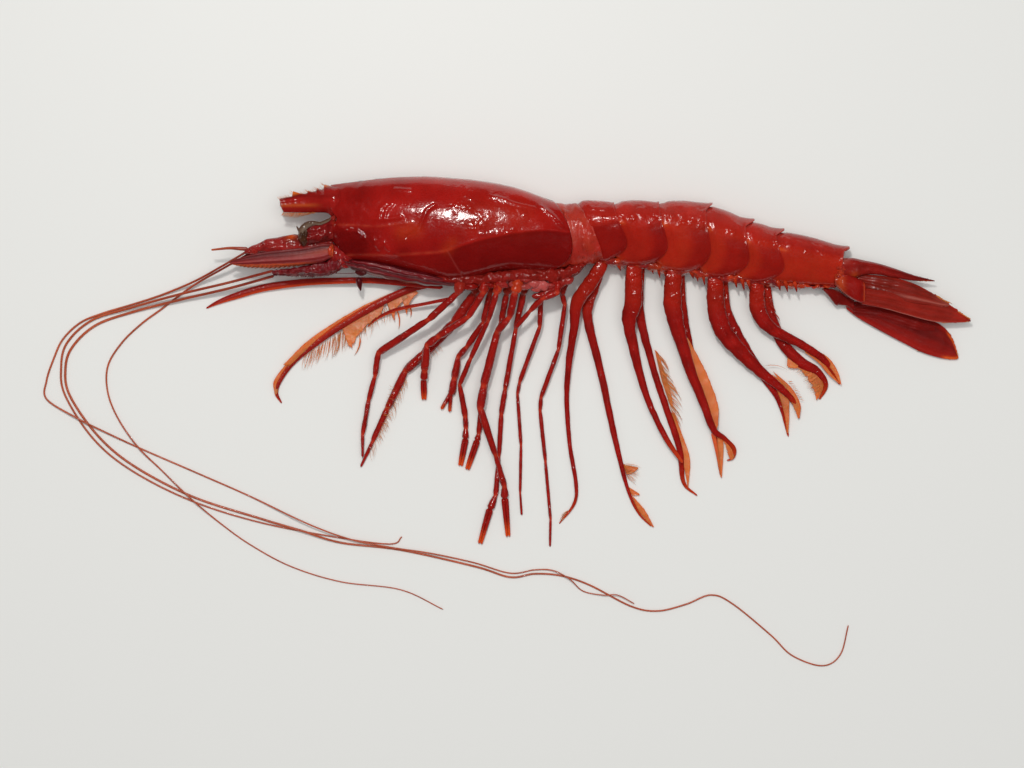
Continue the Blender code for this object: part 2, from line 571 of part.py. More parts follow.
def open_claw(group, profile):
    """The claw that stands open: its two fingers are joined to the end of the leg."""
    leg = as_mesh(bpy.data.objects["claw_leg_1_right"], group)
    leg.data.materials.clear()
    leg.data.materials.append(material("claw_leg_1_right", LIMB_RED))
    palm = walk(*JOINTED["claw_leg_1_right"])[-1]
    root = (palm[0], palm[1] + FINGER_SINK, palm[2], FINGER_ROOT_WIDTH)
    helpers = bpy.data.collections["helpers"]
    for n, finger in enumerate(FINGER):
        made = swept(f"finger_{n}", walk(root, (finger,)), profile, LIMB_RED, helpers)
        join = leg.modifiers.new(f"finger_{n}", "BOOLEAN")
        join.operation = "UNION"
        join.object = as_mesh(made, helpers)


def make_threads(group):
    for name, (radius, route) in THREADS.items():
        curve = bpy.data.curves.new(name, "CURVE")
        curve.dimensions = "3D"
        curve.bevel_depth = radius * MM
        curve.bevel_resolution = 0
        curve.use_fill_caps = True
        points = smooth(route, THREAD_STEPS)
        spline = curve.splines.new("POLY")
        spline.points.add(len(points) - 1)
        for n, (point, (x, y, z)) in enumerate(zip(spline.points, points)):
            point.co = (x * MM, y * MM, z * MM, 1)
            point.radius = 1 - (1 - THREAD_TIP) * n / (len(points) - 1)
        place(name, curve, THREAD_BROWN, group)


def main():
    clear_scene()
    shrimp = collection("raw_shrimp")
    helpers = collection("helpers")
    make_carapace(shrimp, helpers)
    make_neck(shrimp)
    make_abdomen(shrimp)
    make_stations(shrimp, TRUNK, LIMB_RED)
    make_stations(shrimp, HEAD, LIMB_RED)
    make_stations(shrimp, TAIL, DEEP_RED)
    make_eyes(shrimp)
    make_limbs(shrimp, helpers)
    make_threads(shrimp)
    mark_as_helper(helpers)


main()
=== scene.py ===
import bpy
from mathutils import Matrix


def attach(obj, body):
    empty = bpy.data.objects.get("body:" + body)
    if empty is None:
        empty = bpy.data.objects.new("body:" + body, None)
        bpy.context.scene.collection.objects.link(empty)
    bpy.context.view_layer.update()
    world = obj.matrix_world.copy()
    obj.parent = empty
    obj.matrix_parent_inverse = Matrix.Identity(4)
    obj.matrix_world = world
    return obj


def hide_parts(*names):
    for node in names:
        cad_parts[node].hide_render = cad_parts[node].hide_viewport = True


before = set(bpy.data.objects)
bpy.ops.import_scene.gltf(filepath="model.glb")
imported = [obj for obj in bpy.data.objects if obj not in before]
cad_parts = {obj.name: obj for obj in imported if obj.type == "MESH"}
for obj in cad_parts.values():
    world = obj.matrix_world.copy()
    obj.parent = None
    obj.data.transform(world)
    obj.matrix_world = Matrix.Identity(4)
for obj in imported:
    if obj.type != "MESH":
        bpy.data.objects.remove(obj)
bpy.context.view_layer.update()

import math
import random

import bmesh
import bpy
from mathutils import Vector, noise

# ---------------------------------------------------------------------------------------------------------
# The studio: a plain pale cutting board, one soft lamp a little behind the animal's back, a wide fill round
# it, and a camera that looks straight down.
# ---------------------------------------------------------------------------------------------------------

MM = 0.001
BOARD_COLOUR = (0.85, 0.85, 0.82)
BOARD_SIZE = 1.6
CAMERA_HEIGHT = 1.005
CAMERA_OVER = (3.6 * MM, -44.4 * MM)
FRAME_WIDTH = 307.2 * MM
SENSOR = 36.0


def linear(red, green, blue):
    """A colour as the eye names it, in 0 to 255, made linear for the shader."""
    out = []
    for value in (red, green, blue):
        share = value / 255
        out.append(share / 12.92 if share <= 0.04045 else ((share + 0.055) / 1.055) ** 2.4)
    return (*out, 1)


def new_material(name):
    material = bpy.data.materials.new(name)
    material.use_nodes = True
    tree = material.node_tree
    return material, tree, tree.nodes["Principled BSDF"]


board = bpy.data.meshes.new("board")
bm = bmesh.new()
bmesh.ops.create_grid(bm, x_segments=1, y_segments=1, size=BOARD_SIZE / 2)
bm.to_mesh(board)
bm.free()
board_material, _, board_shader = new_material("board_plastic")
board_shader.inputs["Base Color"].default_value = (*BOARD_COLOUR, 1)
board_shader.inputs["Roughness"].default_value = 0.45
board.materials.append(board_material)
board_object = bpy.data.objects.new("board", board)
bpy.context.collection.objects.link(board_object)


def area_lamp(name, place, aim, size, power, colour):
    lamp = bpy.data.lights.new(name, "AREA")
    lamp.shape = "RECTANGLE"
    lamp.size, lamp.size_y = size
    lamp.energy = power
    lamp.color = colour
    obj = bpy.data.objects.new(name, lamp)
    obj.location = place
    obj.rotation_euler = (Vector(aim) - Vector(place)).to_track_quat("-Z", "Y").to_euler()
    bpy.context.collection.objects.link(obj)
    return obj


area_lamp("key_lamp", (-0.08, 0.27, 0.95), (0.0, 0.0, 0.0), (0.06, 0.08), 3.0, (1.0, 0.98, 0.95))
fill = area_lamp("ceiling_fill", (0.1, 0.1, 1.7), (0.0, -0.05, 0.0), (1.6, 1.2), 12.3, (0.99, 0.98, 0.97))
fill.visible_glossy = False
world = bpy.data.worlds.new("room")
world.use_nodes = True
world.node_tree.nodes["Background"].inputs["Color"].default_value = (0.95, 0.97, 1.0, 1)
world.node_tree.nodes["Background"].inputs["Strength"].default_value = 0.3
world.cycles_visibility.glossy = False
bpy.context.scene.world = world
bpy.context.scene.view_settings.view_transform = "Standard"

camera = bpy.data.cameras.new("overhead_camera")
camera.sensor_width = SENSOR
camera.lens = SENSOR * (CAMERA_HEIGHT - 5 * MM) / FRAME_WIDTH
camera_object = bpy.data.objects.new("overhead_camera", camera)
camera_object.location = (*CAMERA_OVER, CAMERA_HEIGHT)
bpy.context.collection.objects.link(camera_object)
bpy.context.scene.camera = camera_object

# ---------------------------------------------------------------------------------------------------------
# The carapace: one shell of thin wet chitin over the head and gills, with the gill cover darker below a
# ridge, a crease behind the stomach, and margins that turn in as a lip.
# ---------------------------------------------------------------------------------------------------------

CARAPACE_FRONT = -50.5
CARAPACE_HIND = 21.5
CARAPACE_WIDTH = 20.0
CARAPACE_SINK = 0.6
HIND_ARC_HEIGHT = -4.0
HIND_ARC_UP = (14.5, 5.3)
HIND_ARC_DOWN = (8.0, 5.6)
BACK_LINE = ((0, 15), (0.1, 15.9), (0.25, 17), (0.45, 17.7), (0.65, 17.2), (0.85, 15), (1, 10.5))
BELLY_LINE = ((0, -8), (0.1, -8), (0.25, -9.5), (0.45, -12.5), (0.6, -14), (0.78, -11.3), (1, -11.7))
WIDTH_LINE = ((0, 0.45), (0.1, 0.62), (0.25, 0.82), (0.45, 0.96), (0.65, 1), (0.85, 0.92), (1, 0.76))
ROUNDNESS = 0.9
SHELL_CLEARANCE = 0.06
LIMB_CLEARANCE = 0.05
SEAM = 2e-6

# Lines that the shell carries, read along the body.
GILL_RIDGE = ((-50, -6), (-39, -6), (-30, -6), (-19, -5.4), (-15.6, -4.8), (-12, -3.4), (-6, -1.5),
              (4.5, 0.6),
              (13.5, 1.5), (20, 1))
STOMACH_LINE = ((-48, 3), (-42, 2.7), (-36, 2.3), (-30, 3), (-26, 3.3))
CREASE = ((-19.5, 8.7), (-21.6, 7.2), (-22.8, 4.2), (-24, 1.2), (-27.6, -0.9))
GILL_SEAM = ((-15.6, -4.8), (-13.5, -8.7), (-10.5, -13.8))
WRINKLES = (
    ((-38.1, 4.6), (-34, 4.4), (-29.4, 5.1)), ((-36, 4.8), (-35.2, 7.8), (-33.6, 9.3)),
    ((-34.2, 4.9), (-33.6, 7.4), (-31.8, 9.2)), ((-47.8, 2.6), (-45, 0.9), (-42.4, 1.0), (-39.8, -1.6)),
    ((-37.6, -1.4), (-36, -4.4), (-34.4, -2.4), (-33, -4.8)), ((-31, 13.6), (-26.6, 13.2)),
    ((-3, 11.6), (0.6, 10.6), (4, 9.2), (10.4, 7.8)), ((12.2, 8.4), (15.6, 6), (18.4, 2.6)),
    ((-49.2, -1.2), (-47.4, -4), (-45, -6.2)))
BEADED = (
    (((-11.4, 13.8), (-9, 12)), 2.2), (((-3, 11.6), (2, 10.2)), 1.2), (((6, 7.2), (7.4, 5.8)), 0.9),
    (((-47, 3), (-41, -0.6)), 1.8), (((-37.4, -1.6), (-32.4, -4.2)), 2.2), (((-12, 7.6), (-6, 2)), 2.6),
    (((19.4, -4.4), (20, -5)), 1.0), (((2, -10.6), (5, -11)), 0.7), (((15, -11), (17, -10.6)), 0.8),
    (((-18.4, -11.4), (-16, -12.6)), 1.2), (((12, 8.6), (18.6, 2.4)), 0.8), (((-6, -0.2), (4, 0.8)), 0.7))

SCARLET = linear(184, 30, 24)
DEEP = linear(104, 9, 9)
PALE = linear(196, 92, 84)
AMBER = linear(196, 66, 26)


def eased(line, at):
    """Reads a smooth line through (position, value) stations."""
    last = len(line) - 1
    for i in range(last):
        if at <= line[i + 1][0] or i == last - 1:
            break
    before, here, there, after = line[max(i - 1, 0)], line[i], line[i + 1], line[min(i + 2, last)]
    span = there[0] - here[0]
    t = min(max((at - here[0]) / span, 0), 1)
    leave = (there[1] - before[1]) / (there[0] - before[0]) * span
    arrive = (after[1] - here[1]) / (after[0] - here[0]) * span
    rise = (2 * t**3 - 3 * t**2 + 1) * here[1] + (3 * t**2 - 2 * t**3) * there[1]
    return rise + (t**3 - 2 * t**2 + t) * leave + (t**3 - t**2) * arrive


def step(low, high, value):
    """Rises smoothly from 0 at low to 1 at high."""
    t = min(max((value - low) / (high - low), 0), 1)
    return t * t * (3 - 2 * t)


def near(route, x, y, width):
    """How close a point of the shell is to a line drawn on it: 1 on the line, fading within the width."""
    best = (3 * width) ** 2
    for (ax, ay), (bx, by) in zip(route, route[1:]):
        dx, dy = bx - ax, by - ay
        t = min(max(((x - ax) * dx + (y - ay) * dy) / (dx * dx + dy * dy), 0), 1)
        best = min(best, (x - ax - t * dx) ** 2 + (y - ay - t * dy) ** 2)
    return math.exp(-best / (width * width))


def rough(x, y, z, size, seed=0):
    """Even roughness between -1 and 1, in lumps of the given size."""
    return noise.noise(Vector((x / size + seed * 7.3, y / size, z / size)))


def signed_power(value, power):
    return math.copysign(abs(value) ** power, value)


def new_skin():
    bm = bmesh.new()
    bm.verts.layers.float_color.new("zones")
    return bm


def wrap(bm, along, around, place, paint):
    """Bends a flat grid into a closed skin. place gives the point at (u, v), and paint how deep, pale and
    amber it is and, where it gives a fourth value, how beaded with water."""
    made = bmesh.ops.create_grid(bm, x_segments=along, y_segments=around, size=0.5)["verts"]
    zones = bm.verts.layers.float_color["zones"]
    for vert in made:
        u, v = vert.co.x + 0.5, vert.co.y + 0.5
        point = place(u, v)
        vert[zones] = (*paint(u, v), 0)[:4]
        vert.co = Vector(point) * MM
    bmesh.ops.remove_doubles(bm, verts=made, dist=SEAM)


def finish(name, bm, material, nodes=()):
    """Turns a skin into a piece that rides on the body and stands for the given CAD nodes."""
    bmesh.ops.recalc_face_normals(bm, faces=bm.faces)
    mesh = bpy.data.meshes.new(name)
    bm.to_mesh(mesh)
    bm.free()
    mesh.shade_smooth()
    mesh.materials.append(material)
    obj = bpy.data.objects.new(name, mesh)
    bpy.context.collection.objects.link(obj)
    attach(obj, "root")
    if nodes:
        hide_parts(*nodes)
    return obj


def build_tones():
    """The colour of the shell: red with deeper, paler and amber zones, where some pale zones carry painted
    sheen and some deep ones painted shade, mottled under a wet film.
    """
    group = bpy.data.node_groups.new("shell_tones", "ShaderNodeTree")
    face = group.interface
    for name in ("Zones", "Scarlet", "Deep", "Pale", "Amber"):
        face.new_socket(name, in_out="INPUT", socket_type="NodeSocketColor")
    for name, value in (("Mottle", 0.2), ("Stipple", 0.3), ("Gloss", 0.22), ("Beads", 0.0)):
        face.new_socket(name, in_out="INPUT", socket_type="NodeSocketFloat").default_value = value
    face.new_socket("Color", in_out="OUTPUT", socket_type="NodeSocketColor")
    face.new_socket("Roughness", in_out="OUTPUT", socket_type="NodeSocketFloat")
    face.new_socket("Height", in_out="OUTPUT", socket_type="NodeSocketFloat")
    nodes, links = group.nodes, group.links
    enter = nodes.new("NodeGroupInput")
    leave = nodes.new("NodeGroupOutput")
    where = nodes.new("ShaderNodeTexCoord")
    split = nodes.new("ShaderNodeSeparateColor")
    links.new(enter.outputs["Zones"], split.inputs[0])

    def grain(scale, detail):
        made = nodes.new("ShaderNodeTexNoise")
        made.inputs["Scale"].default_value = scale
        made.inputs["Detail"].default_value = detail
        links.new(where.outputs["Object"], made.inputs["Vector"])
        return made.outputs["Fac"]

    def sum_of(kind, one, two, three=None):
        made = nodes.new("ShaderNodeMath")
        made.operation = kind
        for socket, value in zip(made.inputs, (one, two, three)):
            if hasattr(value, "is_output"):
                links.new(value, socket)
            elif value is not None:
                socket.default_value = value
        return made.outputs[0]

    colour = enter.outputs["Scarlet"]
    for name, channel in (("Deep", 0), ("Pale", 1), ("Amber", 2)):
        mixed = nodes.new("ShaderNodeMix")
        mixed.data_type = "RGBA"
        links.new(split.outputs[channel], mixed.inputs["Factor"])
        links.new(colour, mixed.inputs["A"])
        links.new(enter.outputs[name], mixed.inputs["B"])
        colour = mixed.outputs["Result"]
    clouds = sum_of("SUBTRACT", grain(190, 3), 0.5)
    tint = sum_of("MULTIPLY_ADD", clouds, sum_of("MULTIPLY", enter.outputs["Mottle"], 2.4), 1.0)
    dots = nodes.new("ShaderNodeTexVoronoi")
    dots.inputs["Scale"].default_value = 1500
    links.new(where.outputs["Object"], dots.inputs["Vector"])
    spot = sum_of("MULTIPLY", sum_of("LESS_THAN", dots.outputs["Distance"], 0.24), enter.outputs["Stipple"])
    tint = sum_of("MULTIPLY", tint, sum_of("SUBTRACT", 1.0, spot))
    shaded = nodes.new("ShaderNodeVectorMath")
    shaded.operation = "SCALE"
    links.new(colour, shaded.inputs[0])
    links.new(tint, shaded.inputs["Scale"])
    links.new(shaded.outputs[0], leave.inputs["Color"])
    links.new(sum_of("MULTIPLY_ADD", grain(700, 2), 0.2, sum_of("SUBTRACT", enter.outputs["Gloss"], 0.14)),
              leave.inputs["Roughness"])
    film = sum_of("MULTIPLY_ADD", grain(330, 2), 1.0, sum_of("MULTIPLY", grain(1500, 3), 0.34))
    drops = nodes.new("ShaderNodeTexVoronoi")
    drops.feature = "SMOOTH_F1"
    drops.inputs["Scale"].default_value = 950
    links.new(where.outputs["Object"], drops.inputs["Vector"])
    dome = sum_of("MULTIPLY", sum_of("SUBTRACT", 1.0, drops.outputs["Distance"]), enter.outputs["Beads"])
    links.new(sum_of("MULTIPLY_ADD", dome, 2.4, film), leave.inputs["Height"])
    return group


shell_tones = build_tones()


def wet_shell(name, scarlet, deep, pale, amber, mottle, stipple, gloss, bump, glow):
    """A wet shell finish: its own colours, a bump of the wet film, and a thin clear coat of water."""
    material, tree, shader = new_material(name)
    tones = tree.nodes.new("ShaderNodeGroup")
    tones.node_tree = shell_tones
    zones = tree.nodes.new("ShaderNodeAttribute")
    zones.attribute_name = "zones"
    tree.links.new(zones.outputs["Color"], tones.inputs["Zones"])
    tree.links.new(zones.outputs["Alpha"], tones.inputs["Beads"])
    for socket, value in (("Scarlet", scarlet), ("Deep", deep), ("Pale", pale), ("Amber", amber),
                          ("Mottle", mottle), ("Stipple", stipple), ("Gloss", gloss)):
        tones.inputs[socket].default_value = value
    film = tree.nodes.new("ShaderNodeBump")
    film.inputs["Strength"].default_value = bump
    film.inputs["Distance"].default_value = 0.4 * MM
    tree.links.new(tones.outputs["Height"], film.inputs["Height"])
    tree.links.new(film.outputs["Normal"], shader.inputs["Normal"])
    tree.links.new(tones.outputs["Color"], shader.inputs["Base Color"])
    tree.links.new(tones.outputs["Roughness"], shader.inputs["Roughness"])
    shader.inputs["Coat Weight"].default_value = 0.3
    shader.inputs["Coat Roughness"].default_value = 0.08
    shader.inputs["Coat IOR"].default_value = 1.34
    shader.inputs["Specular IOR Level"].default_value = 0.5
    shader.inputs["Subsurface Weight"].default_value = glow
    shader.inputs["Subsurface Radius"].default_value = (1.0, 0.22, 0.14)
    shader.inputs["Subsurface Scale"].default_value = 1.6 * MM
    return material


carapace_finish = wet_shell("carapace_shell", SCARLET, DEEP, PALE, AMBER, 0.2, 0.16, 0.2, 0.36, 0.22)


def hind_margin(y):
    """The carapace's rear edge, an arc that bulges backwards."""
    reach, depth = HIND_ARC_UP if y > HIND_ARC_HEIGHT else HIND_ARC_DOWN
    return CARAPACE_HIND - depth * ((y - HIND_ARC_HEIGHT) / reach) ** 2


def front_notch(y):
    """The front edge: hollow for the eye, a blunt corner under it, then slanting back to the cheek."""
    hollow = 1.9 * math.exp(-((y - 4.8) / 1.8) ** 2) - 0.4 * math.exp(-((y - 1.4) / 1.0) ** 2)
    return hollow + 4.6 * step(-0.4, -7.0, y)


def carapace_relief(x, y, turn):
    """How far the shell stands out from its plain form, in millimetres."""
    below = step(0.0, 2.0, eased(GILL_RIDGE, x) - y) * step(-50, -40, x)
    out = -0.14 * below * step(-17, -12, x) - 0.1 * below
    out += 0.14 * near(GILL_RIDGE, x, y, 0.5) + 0.12 * near(STOMACH_LINE, x, y, 0.5)
    out -= 0.3 * near(CREASE, x, y, 0.55)
    out -= 0.12 * near(GILL_SEAM, x, y, 0.4)
    if turn < math.pi:
        for line in WRINKLES:
            out += 0.3 * near(line, x, y, 0.6)
    out += 0.12 * rough(x, y, turn, 6.0) + 0.035 * rough(x, y, turn, 2.2, 2)
    wrinkled = step(-34, -46, x) + 0.4 * near(((-14, 12), (-9, 12.6)), x, y, 3)
    out += 0.16 * wrinkled * rough(x, y, turn, 1.6, 5)
    keel = max(math.cos(turn), 0) ** 60
    return out + 0.35 * keel * step(-12, -30, x)


def carapace_point(u, turn, inset=0.0, relief=True):
    low, high = eased(BELLY_LINE, u), eased(BACK_LINE, u)
    half_width = CARAPACE_WIDTH / 2 * eased(WIDTH_LINE, u)
    half_height = (high - low) / 2
    lift = signed_power(math.cos(turn), ROUNDNESS)
    side = signed_power(math.sin(turn), ROUNDNESS)
    y = (low + high) / 2 + half_height * lift
    x = CARAPACE_FRONT + (hind_margin(y) - CARAPACE_FRONT) * u
    x -= 2.6 * u**6 * max(-math.cos(turn), 0) ** 10
    x += front_notch(y) * (1 - u) ** 8
    z = CARAPACE_WIDTH / 2 - CARAPACE_SINK + half_width * side
    out = Vector((0, lift / half_height, side / half_width)).normalized()
    grow = (carapace_relief(x, y, turn) if relief else 0) - inset - 0.34
    point = Vector((x, y, z)) + out * grow
    point.z = max(point.z, SHELL_CLEARANCE)
    return point


def side_first(v):
    """Turns round the section, with two thirds of the columns on the upper side to keep its creases sharp."""
    return math.pi * (1.5 * v if v < 2 / 3 else 3 * v - 1)


def carapace_place(u, v):
    """Front lip, shell, hind lip, and an inner wall at each end that the head and neck come out of."""
    turn = side_first(v)
    if u < 0.03:
        t = u / 0.03
        return carapace_point(0.02 * (1 - t), turn, inset=0.9 * (1 - t)) if u > 0 else Vector((-48, 3, 9.6))
    if u <= 0.95:
        return carapace_point((u - 0.03) / 0.92, turn)
    t = (u - 0.95) / 0.05
    if t >= 0.999:
        return Vector((17, -1, 9.4))
    return carapace_point(1 - 0.035 * t, turn, inset=0.12 + 1.1 * step(0, 0.8, t))


def carapace_zones(u, v):
    turn = side_first(v)
    point = carapace_point(min(max((u - 0.03) / 0.92, 0), 1), turn, relief=False)
    x, y = point.x, point.y
    below = step(-0.3, 0.9, eased(GILL_RIDGE, x) - y)
    cloud = rough(x, y, turn, 7.0, 3)
    deep = below * (0.66 + 0.18 * step(-22, -12, x)) * step(-52, -44, x)
    upper = 0.26 + 0.22 * step(-34, -46, x) + 0.16 * cloud + 0.16 * step(13, 5, y) - 0.12 * step(-2, 6, x)
    upper += 0.3 * step(14, 21, x) + 0.25 * near(((-40, 13), (-30, 13.5)), x, y, 3.5)
    upper -= 0.2 * near(((-36, 8), (-32, 11)), x, y, 5)
    upper += 0.22 * step(4, -6, y) * step(-8, -14, x) * step(-33, -28, x)
    upper += 0.3 * step(-34, -42, x) * step(3, 0, y)
    deep = max(deep, min(max(upper, 0), 1) * (1 - below))
    # rim: a painted sheen of reflection along the back of the shell, stronger towards the rear
    rim = step(0.62, 0.95, math.cos(turn))
    pale = 0.22 * rim * step(-26, -14, x) + 0.06 * rim
    worn = 0.5 + 0.9 * rough(x, y, turn, 3.0, 12)
    front_line = near(GILL_RIDGE, x, y, 0.36) * step(-12, -16, x) + near(STOMACH_LINE, x, y, 0.34)
    pale += 0.16 * front_line * worn + 0.16 * near(GILL_SEAM, x, y, 0.25)
    amber = 0.34 * near(((-29, 0.8), (-25, 1.2)), x, y, 2.4) + 0.36 * front_line * worn
    amber += 0.26 * near(((-15.6, -4.4), (-14, -2.5)), x, y, 1.8)
    amber += 0.14 * near(((-8, 5), (6, 5.5)), x, y, 5)
    beads = 0
    if turn < math.pi:
        beads = max(near(line, x, y, width) for line, width in BEADED)
    return deep, min(pale, 0.8), min(amber, 0.8), beads


bm = new_skin()
wrap(bm, 300, 210, carapace_place, carapace_zones)
finish("carapace_skin", bm, carapace_finish, ["carapace"])

# ---------------------------------------------------------------------------------------------------------
# The rostrum: the carapace drawn out in front into a thin keeled blade with teeth and stiff amber hairs on
# its crest, and a fringe under it. It was broken off short, so it ends in a cracked face.
# ---------------------------------------------------------------------------------------------------------

ROSTRUM_CREST = ((-66, 10.9), (-63, 11.5), (-59, 12.3), (-55, 13.3), (-51, 14.3), (-47, 14.9), (-43, 15.2))
ROSTRUM_LOW = ((-66, 6.9), (-60, 6.8), (-54, 6.75), (-51.6, 6.5), (-49.8, 5.2), (-43, 5.0))
ROSTRUM_HALF = ((-66, 1.0), (-60, 1.3), (-55, 2.2), (-52, 3.7), (-50.4, 4.5), (-49, 4.6), (-47.6, 3.9),
                (-43, 1.6))
ROSTRUM_TEETH = ((-61.7, 1.5, 3.6), (-57.3, 0.7, 1.4), (-54.6, 0.7, 1.4), (-52.4, 1.3, 3.4),
                 (-43.9, 0.5, 1.2),
                 (-42.9, 0.4, 1.0))
ROSTRUM_MIDDLE = CARAPACE_WIDTH / 2 - CARAPACE_SINK


def tooth_rise(x):
    """Each tooth stands up sharply at its front and runs down behind."""
    rise = 0
    for tip, height, run in ROSTRUM_TEETH:
        if tip - 0.35 < x <= tip:
            rise = max(rise, height * (x - tip + 0.35) / 0.35)
        elif tip < x < tip + run:
            rise = max(rise, height * (1 - (x - tip) / run) ** 1.4)
    return rise


def rostrum_place(u, v):
    x = -66 + 23 * min(max((u - 0.02) / 0.98, 0), 1)
    turn = 2 * math.pi * v
    lift, side = signed_power(math.cos(turn), 1.3), signed_power(math.sin(turn), 0.8)
    low, high = eased(ROSTRUM_LOW, x), eased(ROSTRUM_CREST, x)
    y = (low + high) / 2 + (high - low) / 2 * lift
    y += tooth_rise(x) * max(lift, 0) ** 5
    half = eased(ROSTRUM_HALF, x)
    upper_ridge = eased(((-66, 10.2), (-60, 10.8), (-52, 11.6), (-43, 11)), x)
    half += 0.34 * math.exp(-((y - upper_ridge) / 0.4) ** 2)
    half += 0.2 * math.exp(-((y - 8.4 - 0.12 * (x + 62)) / 0.35) ** 2) * step(-62, -58, x)
    half -= 0.3 * math.exp(-((y - 7.6) / 0.5) ** 2)
    z = ROSTRUM_MIDDLE + half * side + 0.08 * rough(x, y, side, 1.4)
    if u < 0.02:
        share = u / 0.02
        y, z = 8.9 + (y - 8.9) * share, ROSTRUM_MIDDLE + (z - ROSTRUM_MIDDLE) * share
        x += 0.5 * share - 0.3 + 0.25 * rough(x, y * 3, z * 3, 1.0, 4)
    x += 0.32 * (10.9 - y) * step(-60, -66, x)
    return Vector((max(x, -66), y, z))


def rostrum_zones(u, v):
    point = rostrum_place(u, v)
    crest = eased(ROSTRUM_CREST, point.x) - point.y
    deep = 0.4 + 0.3 * step(0.9, 0.2, crest) + 0.3 * math.exp(-((point.y - 7.3) / 0.5) ** 2)
    deep += 0.25 * math.exp(-((point.y - 11.6) / 0.7) ** 2)
    amber = 0.75 * step(0.1, -0.8, crest)
    amber += 0.3 * math.exp(-((point.y - 8.9) / 0.5) ** 2) * step(-52, -57, point.x)
    return min(deep, 1), 0.03, min(amber + 0.35 * step(-65.4, -66, point.x), 1)


def stops(stations, per, jointed=True):
    """Stops along a limb as (place, half width, nearness to a joint, share of the length)."""
    out = []
    lengths = [(Vector(b[:3]) - Vector(a[:3])).length for a, b in zip(stations, stations[1:])]
    whole, gone = sum(lengths), 0
    lines = [[(i, station[part]) for i, station in enumerate(stations)] for part in range(4)]
    for k, length in enumerate(lengths):
        count = per + (k == len(lengths) - 1)
        for n in range(count):
            s = n / per
            if jointed:
                x, y, z, width = (a + (b - a) * s for a, b in zip(stations[k], stations[k + 1]))
            else:
                x, y, z, width = (eased(line, k + s) for line in lines)
            behind = s * length if k else length
            ahead = (1 - s) * length if k < len(lengths) - 1 else length
            to_joint = min(behind, ahead)
            joint = math.exp(-(to_joint / 0.55) ** 2) if jointed else 0
            if jointed:
                width *= (0.96 + 0.16 * s) * (1 - 0.2 * math.exp(-(to_joint / 1.1) ** 2))
            reach = gone + s * length
            cap = min(reach, whole - reach) / max(width / 2, 0.05)
            out.append((Vector((x, y, z)), width / 2 * math.sqrt(min(max(cap, 0), 1)), joint,
                        reach / whole))
        gone += length
    return out


def tube(bm, route, around, flat, paint, swell=None):
    """Skins a limb: an oval at every stop of the route, drawn to a point at both ends."""
    last = len(route) - 1
    turns = []
    for i in range(last + 1):
        ahead = route[min(i + 1, last)][0] - route[max(i - 1, 0)][0]
        side = Vector((-ahead.y, ahead.x, 0)).normalized()
        turns.append((side, ahead.cross(side).normalized()))

    def place(u, v):
        i = round(u * last)
        centre, half, _, _ = route[i]
        if i in (0, last):
            half = 0
        side, up = turns[i]
        turn = 2 * math.pi * v
        offset = side * half * math.cos(turn) + up * half * flat * math.sin(turn)
        if swell:
            offset *= swell(centre + offset)
        point = centre + offset
        point.z = max(point.z, LIMB_CLEARANCE)
        return point

    def zones(u, v):
        _, _, joint, share = route[round(u * last)]
        return paint(share, 2 * math.pi * v, joint)

    wrap(bm, last, around, place, zones)


def hair(bm, root, tip, radius, bend=0.12, paint=lambda share, turn, joint: (0, 0.2 * share, 0.6)):
    """One bristle: a three-sided taper with a slight curve."""
    root, tip = Vector(root), Vector(tip)
    across = Vector((root.y - tip.y, tip.x - root.x, 0)) * bend
    route = []
    for n in range(5):
        s = n / 4
        centre = root.lerp(tip, s) + across * math.sin(math.pi * s)
        route.append((centre, radius * (1 - 0.75 * s), 0, s))
    tube(bm, route, 3, 1, paint)


rostrum_finish = wet_shell("rostrum_shell", SCARLET, DEEP, PALE, linear(232, 122, 48), 0.2, 0.1, 0.2,
                           0.36, 0.22)
bristle_finish = wet_shell("bristle", linear(198, 74, 26), DEEP, linear(240, 168, 96),
                           linear(236, 132, 52), 0.3,
                           0.0, 0.4, 0.1, 0.3)
bm = new_skin()
wrap(bm, 170, 40, rostrum_place, rostrum_zones)
finish("rostrum_skin", bm, rostrum_finish)

dice = random.Random(3)
bm = new_skin()
for n in range(70):
    x = -64.6 + 9.6 * (n / 69) + dice.uniform(-0.1, 0.1)
    drop = 0.5 + 1.3 * math.sin(math.pi * min(0.2 + 0.85 * n / 69, 1))
    z = ROSTRUM_MIDDLE + dice.uniform(-0.5, 0.7)
    hair(bm, (x, 7.0, z), (x - 0.9, 7.0 - drop * dice.uniform(0.8, 1.1), z), 0.11)
for n in range(54):
    x = -65.4 + 13.5 * n / 53
    if -60.6 < x < -58.6:
        continue
    high = eased(ROSTRUM_CREST, x) + tooth_rise(x)
    z = ROSTRUM_MIDDLE + dice.uniform(-0.4, 0.5)
    hair(bm, (x, high - 0.4, z), (x - 1.3, high + dice.uniform(0.3, 0.9), z), 0.09)
for n in range(14):
    x = -45.4 + 4.6 * n / 13
    hair(bm, (x, 14.9, ROSTRUM_MIDDLE), (x - 0.9, 15.5 + dice.uniform(0, 0.4), ROSTRUM_MIDDLE), 0.08)
finish("rostrum_bristles", bm, bristle_finish)

# ---------------------------------------------------------------------------------------------------------
# The neck: a soft wrinkled collar of skin where the carapace ends and the tail begins, amber red because no
# shell covers it, tucked under the carapace in front and under the first ring behind.
# ---------------------------------------------------------------------------------------------------------

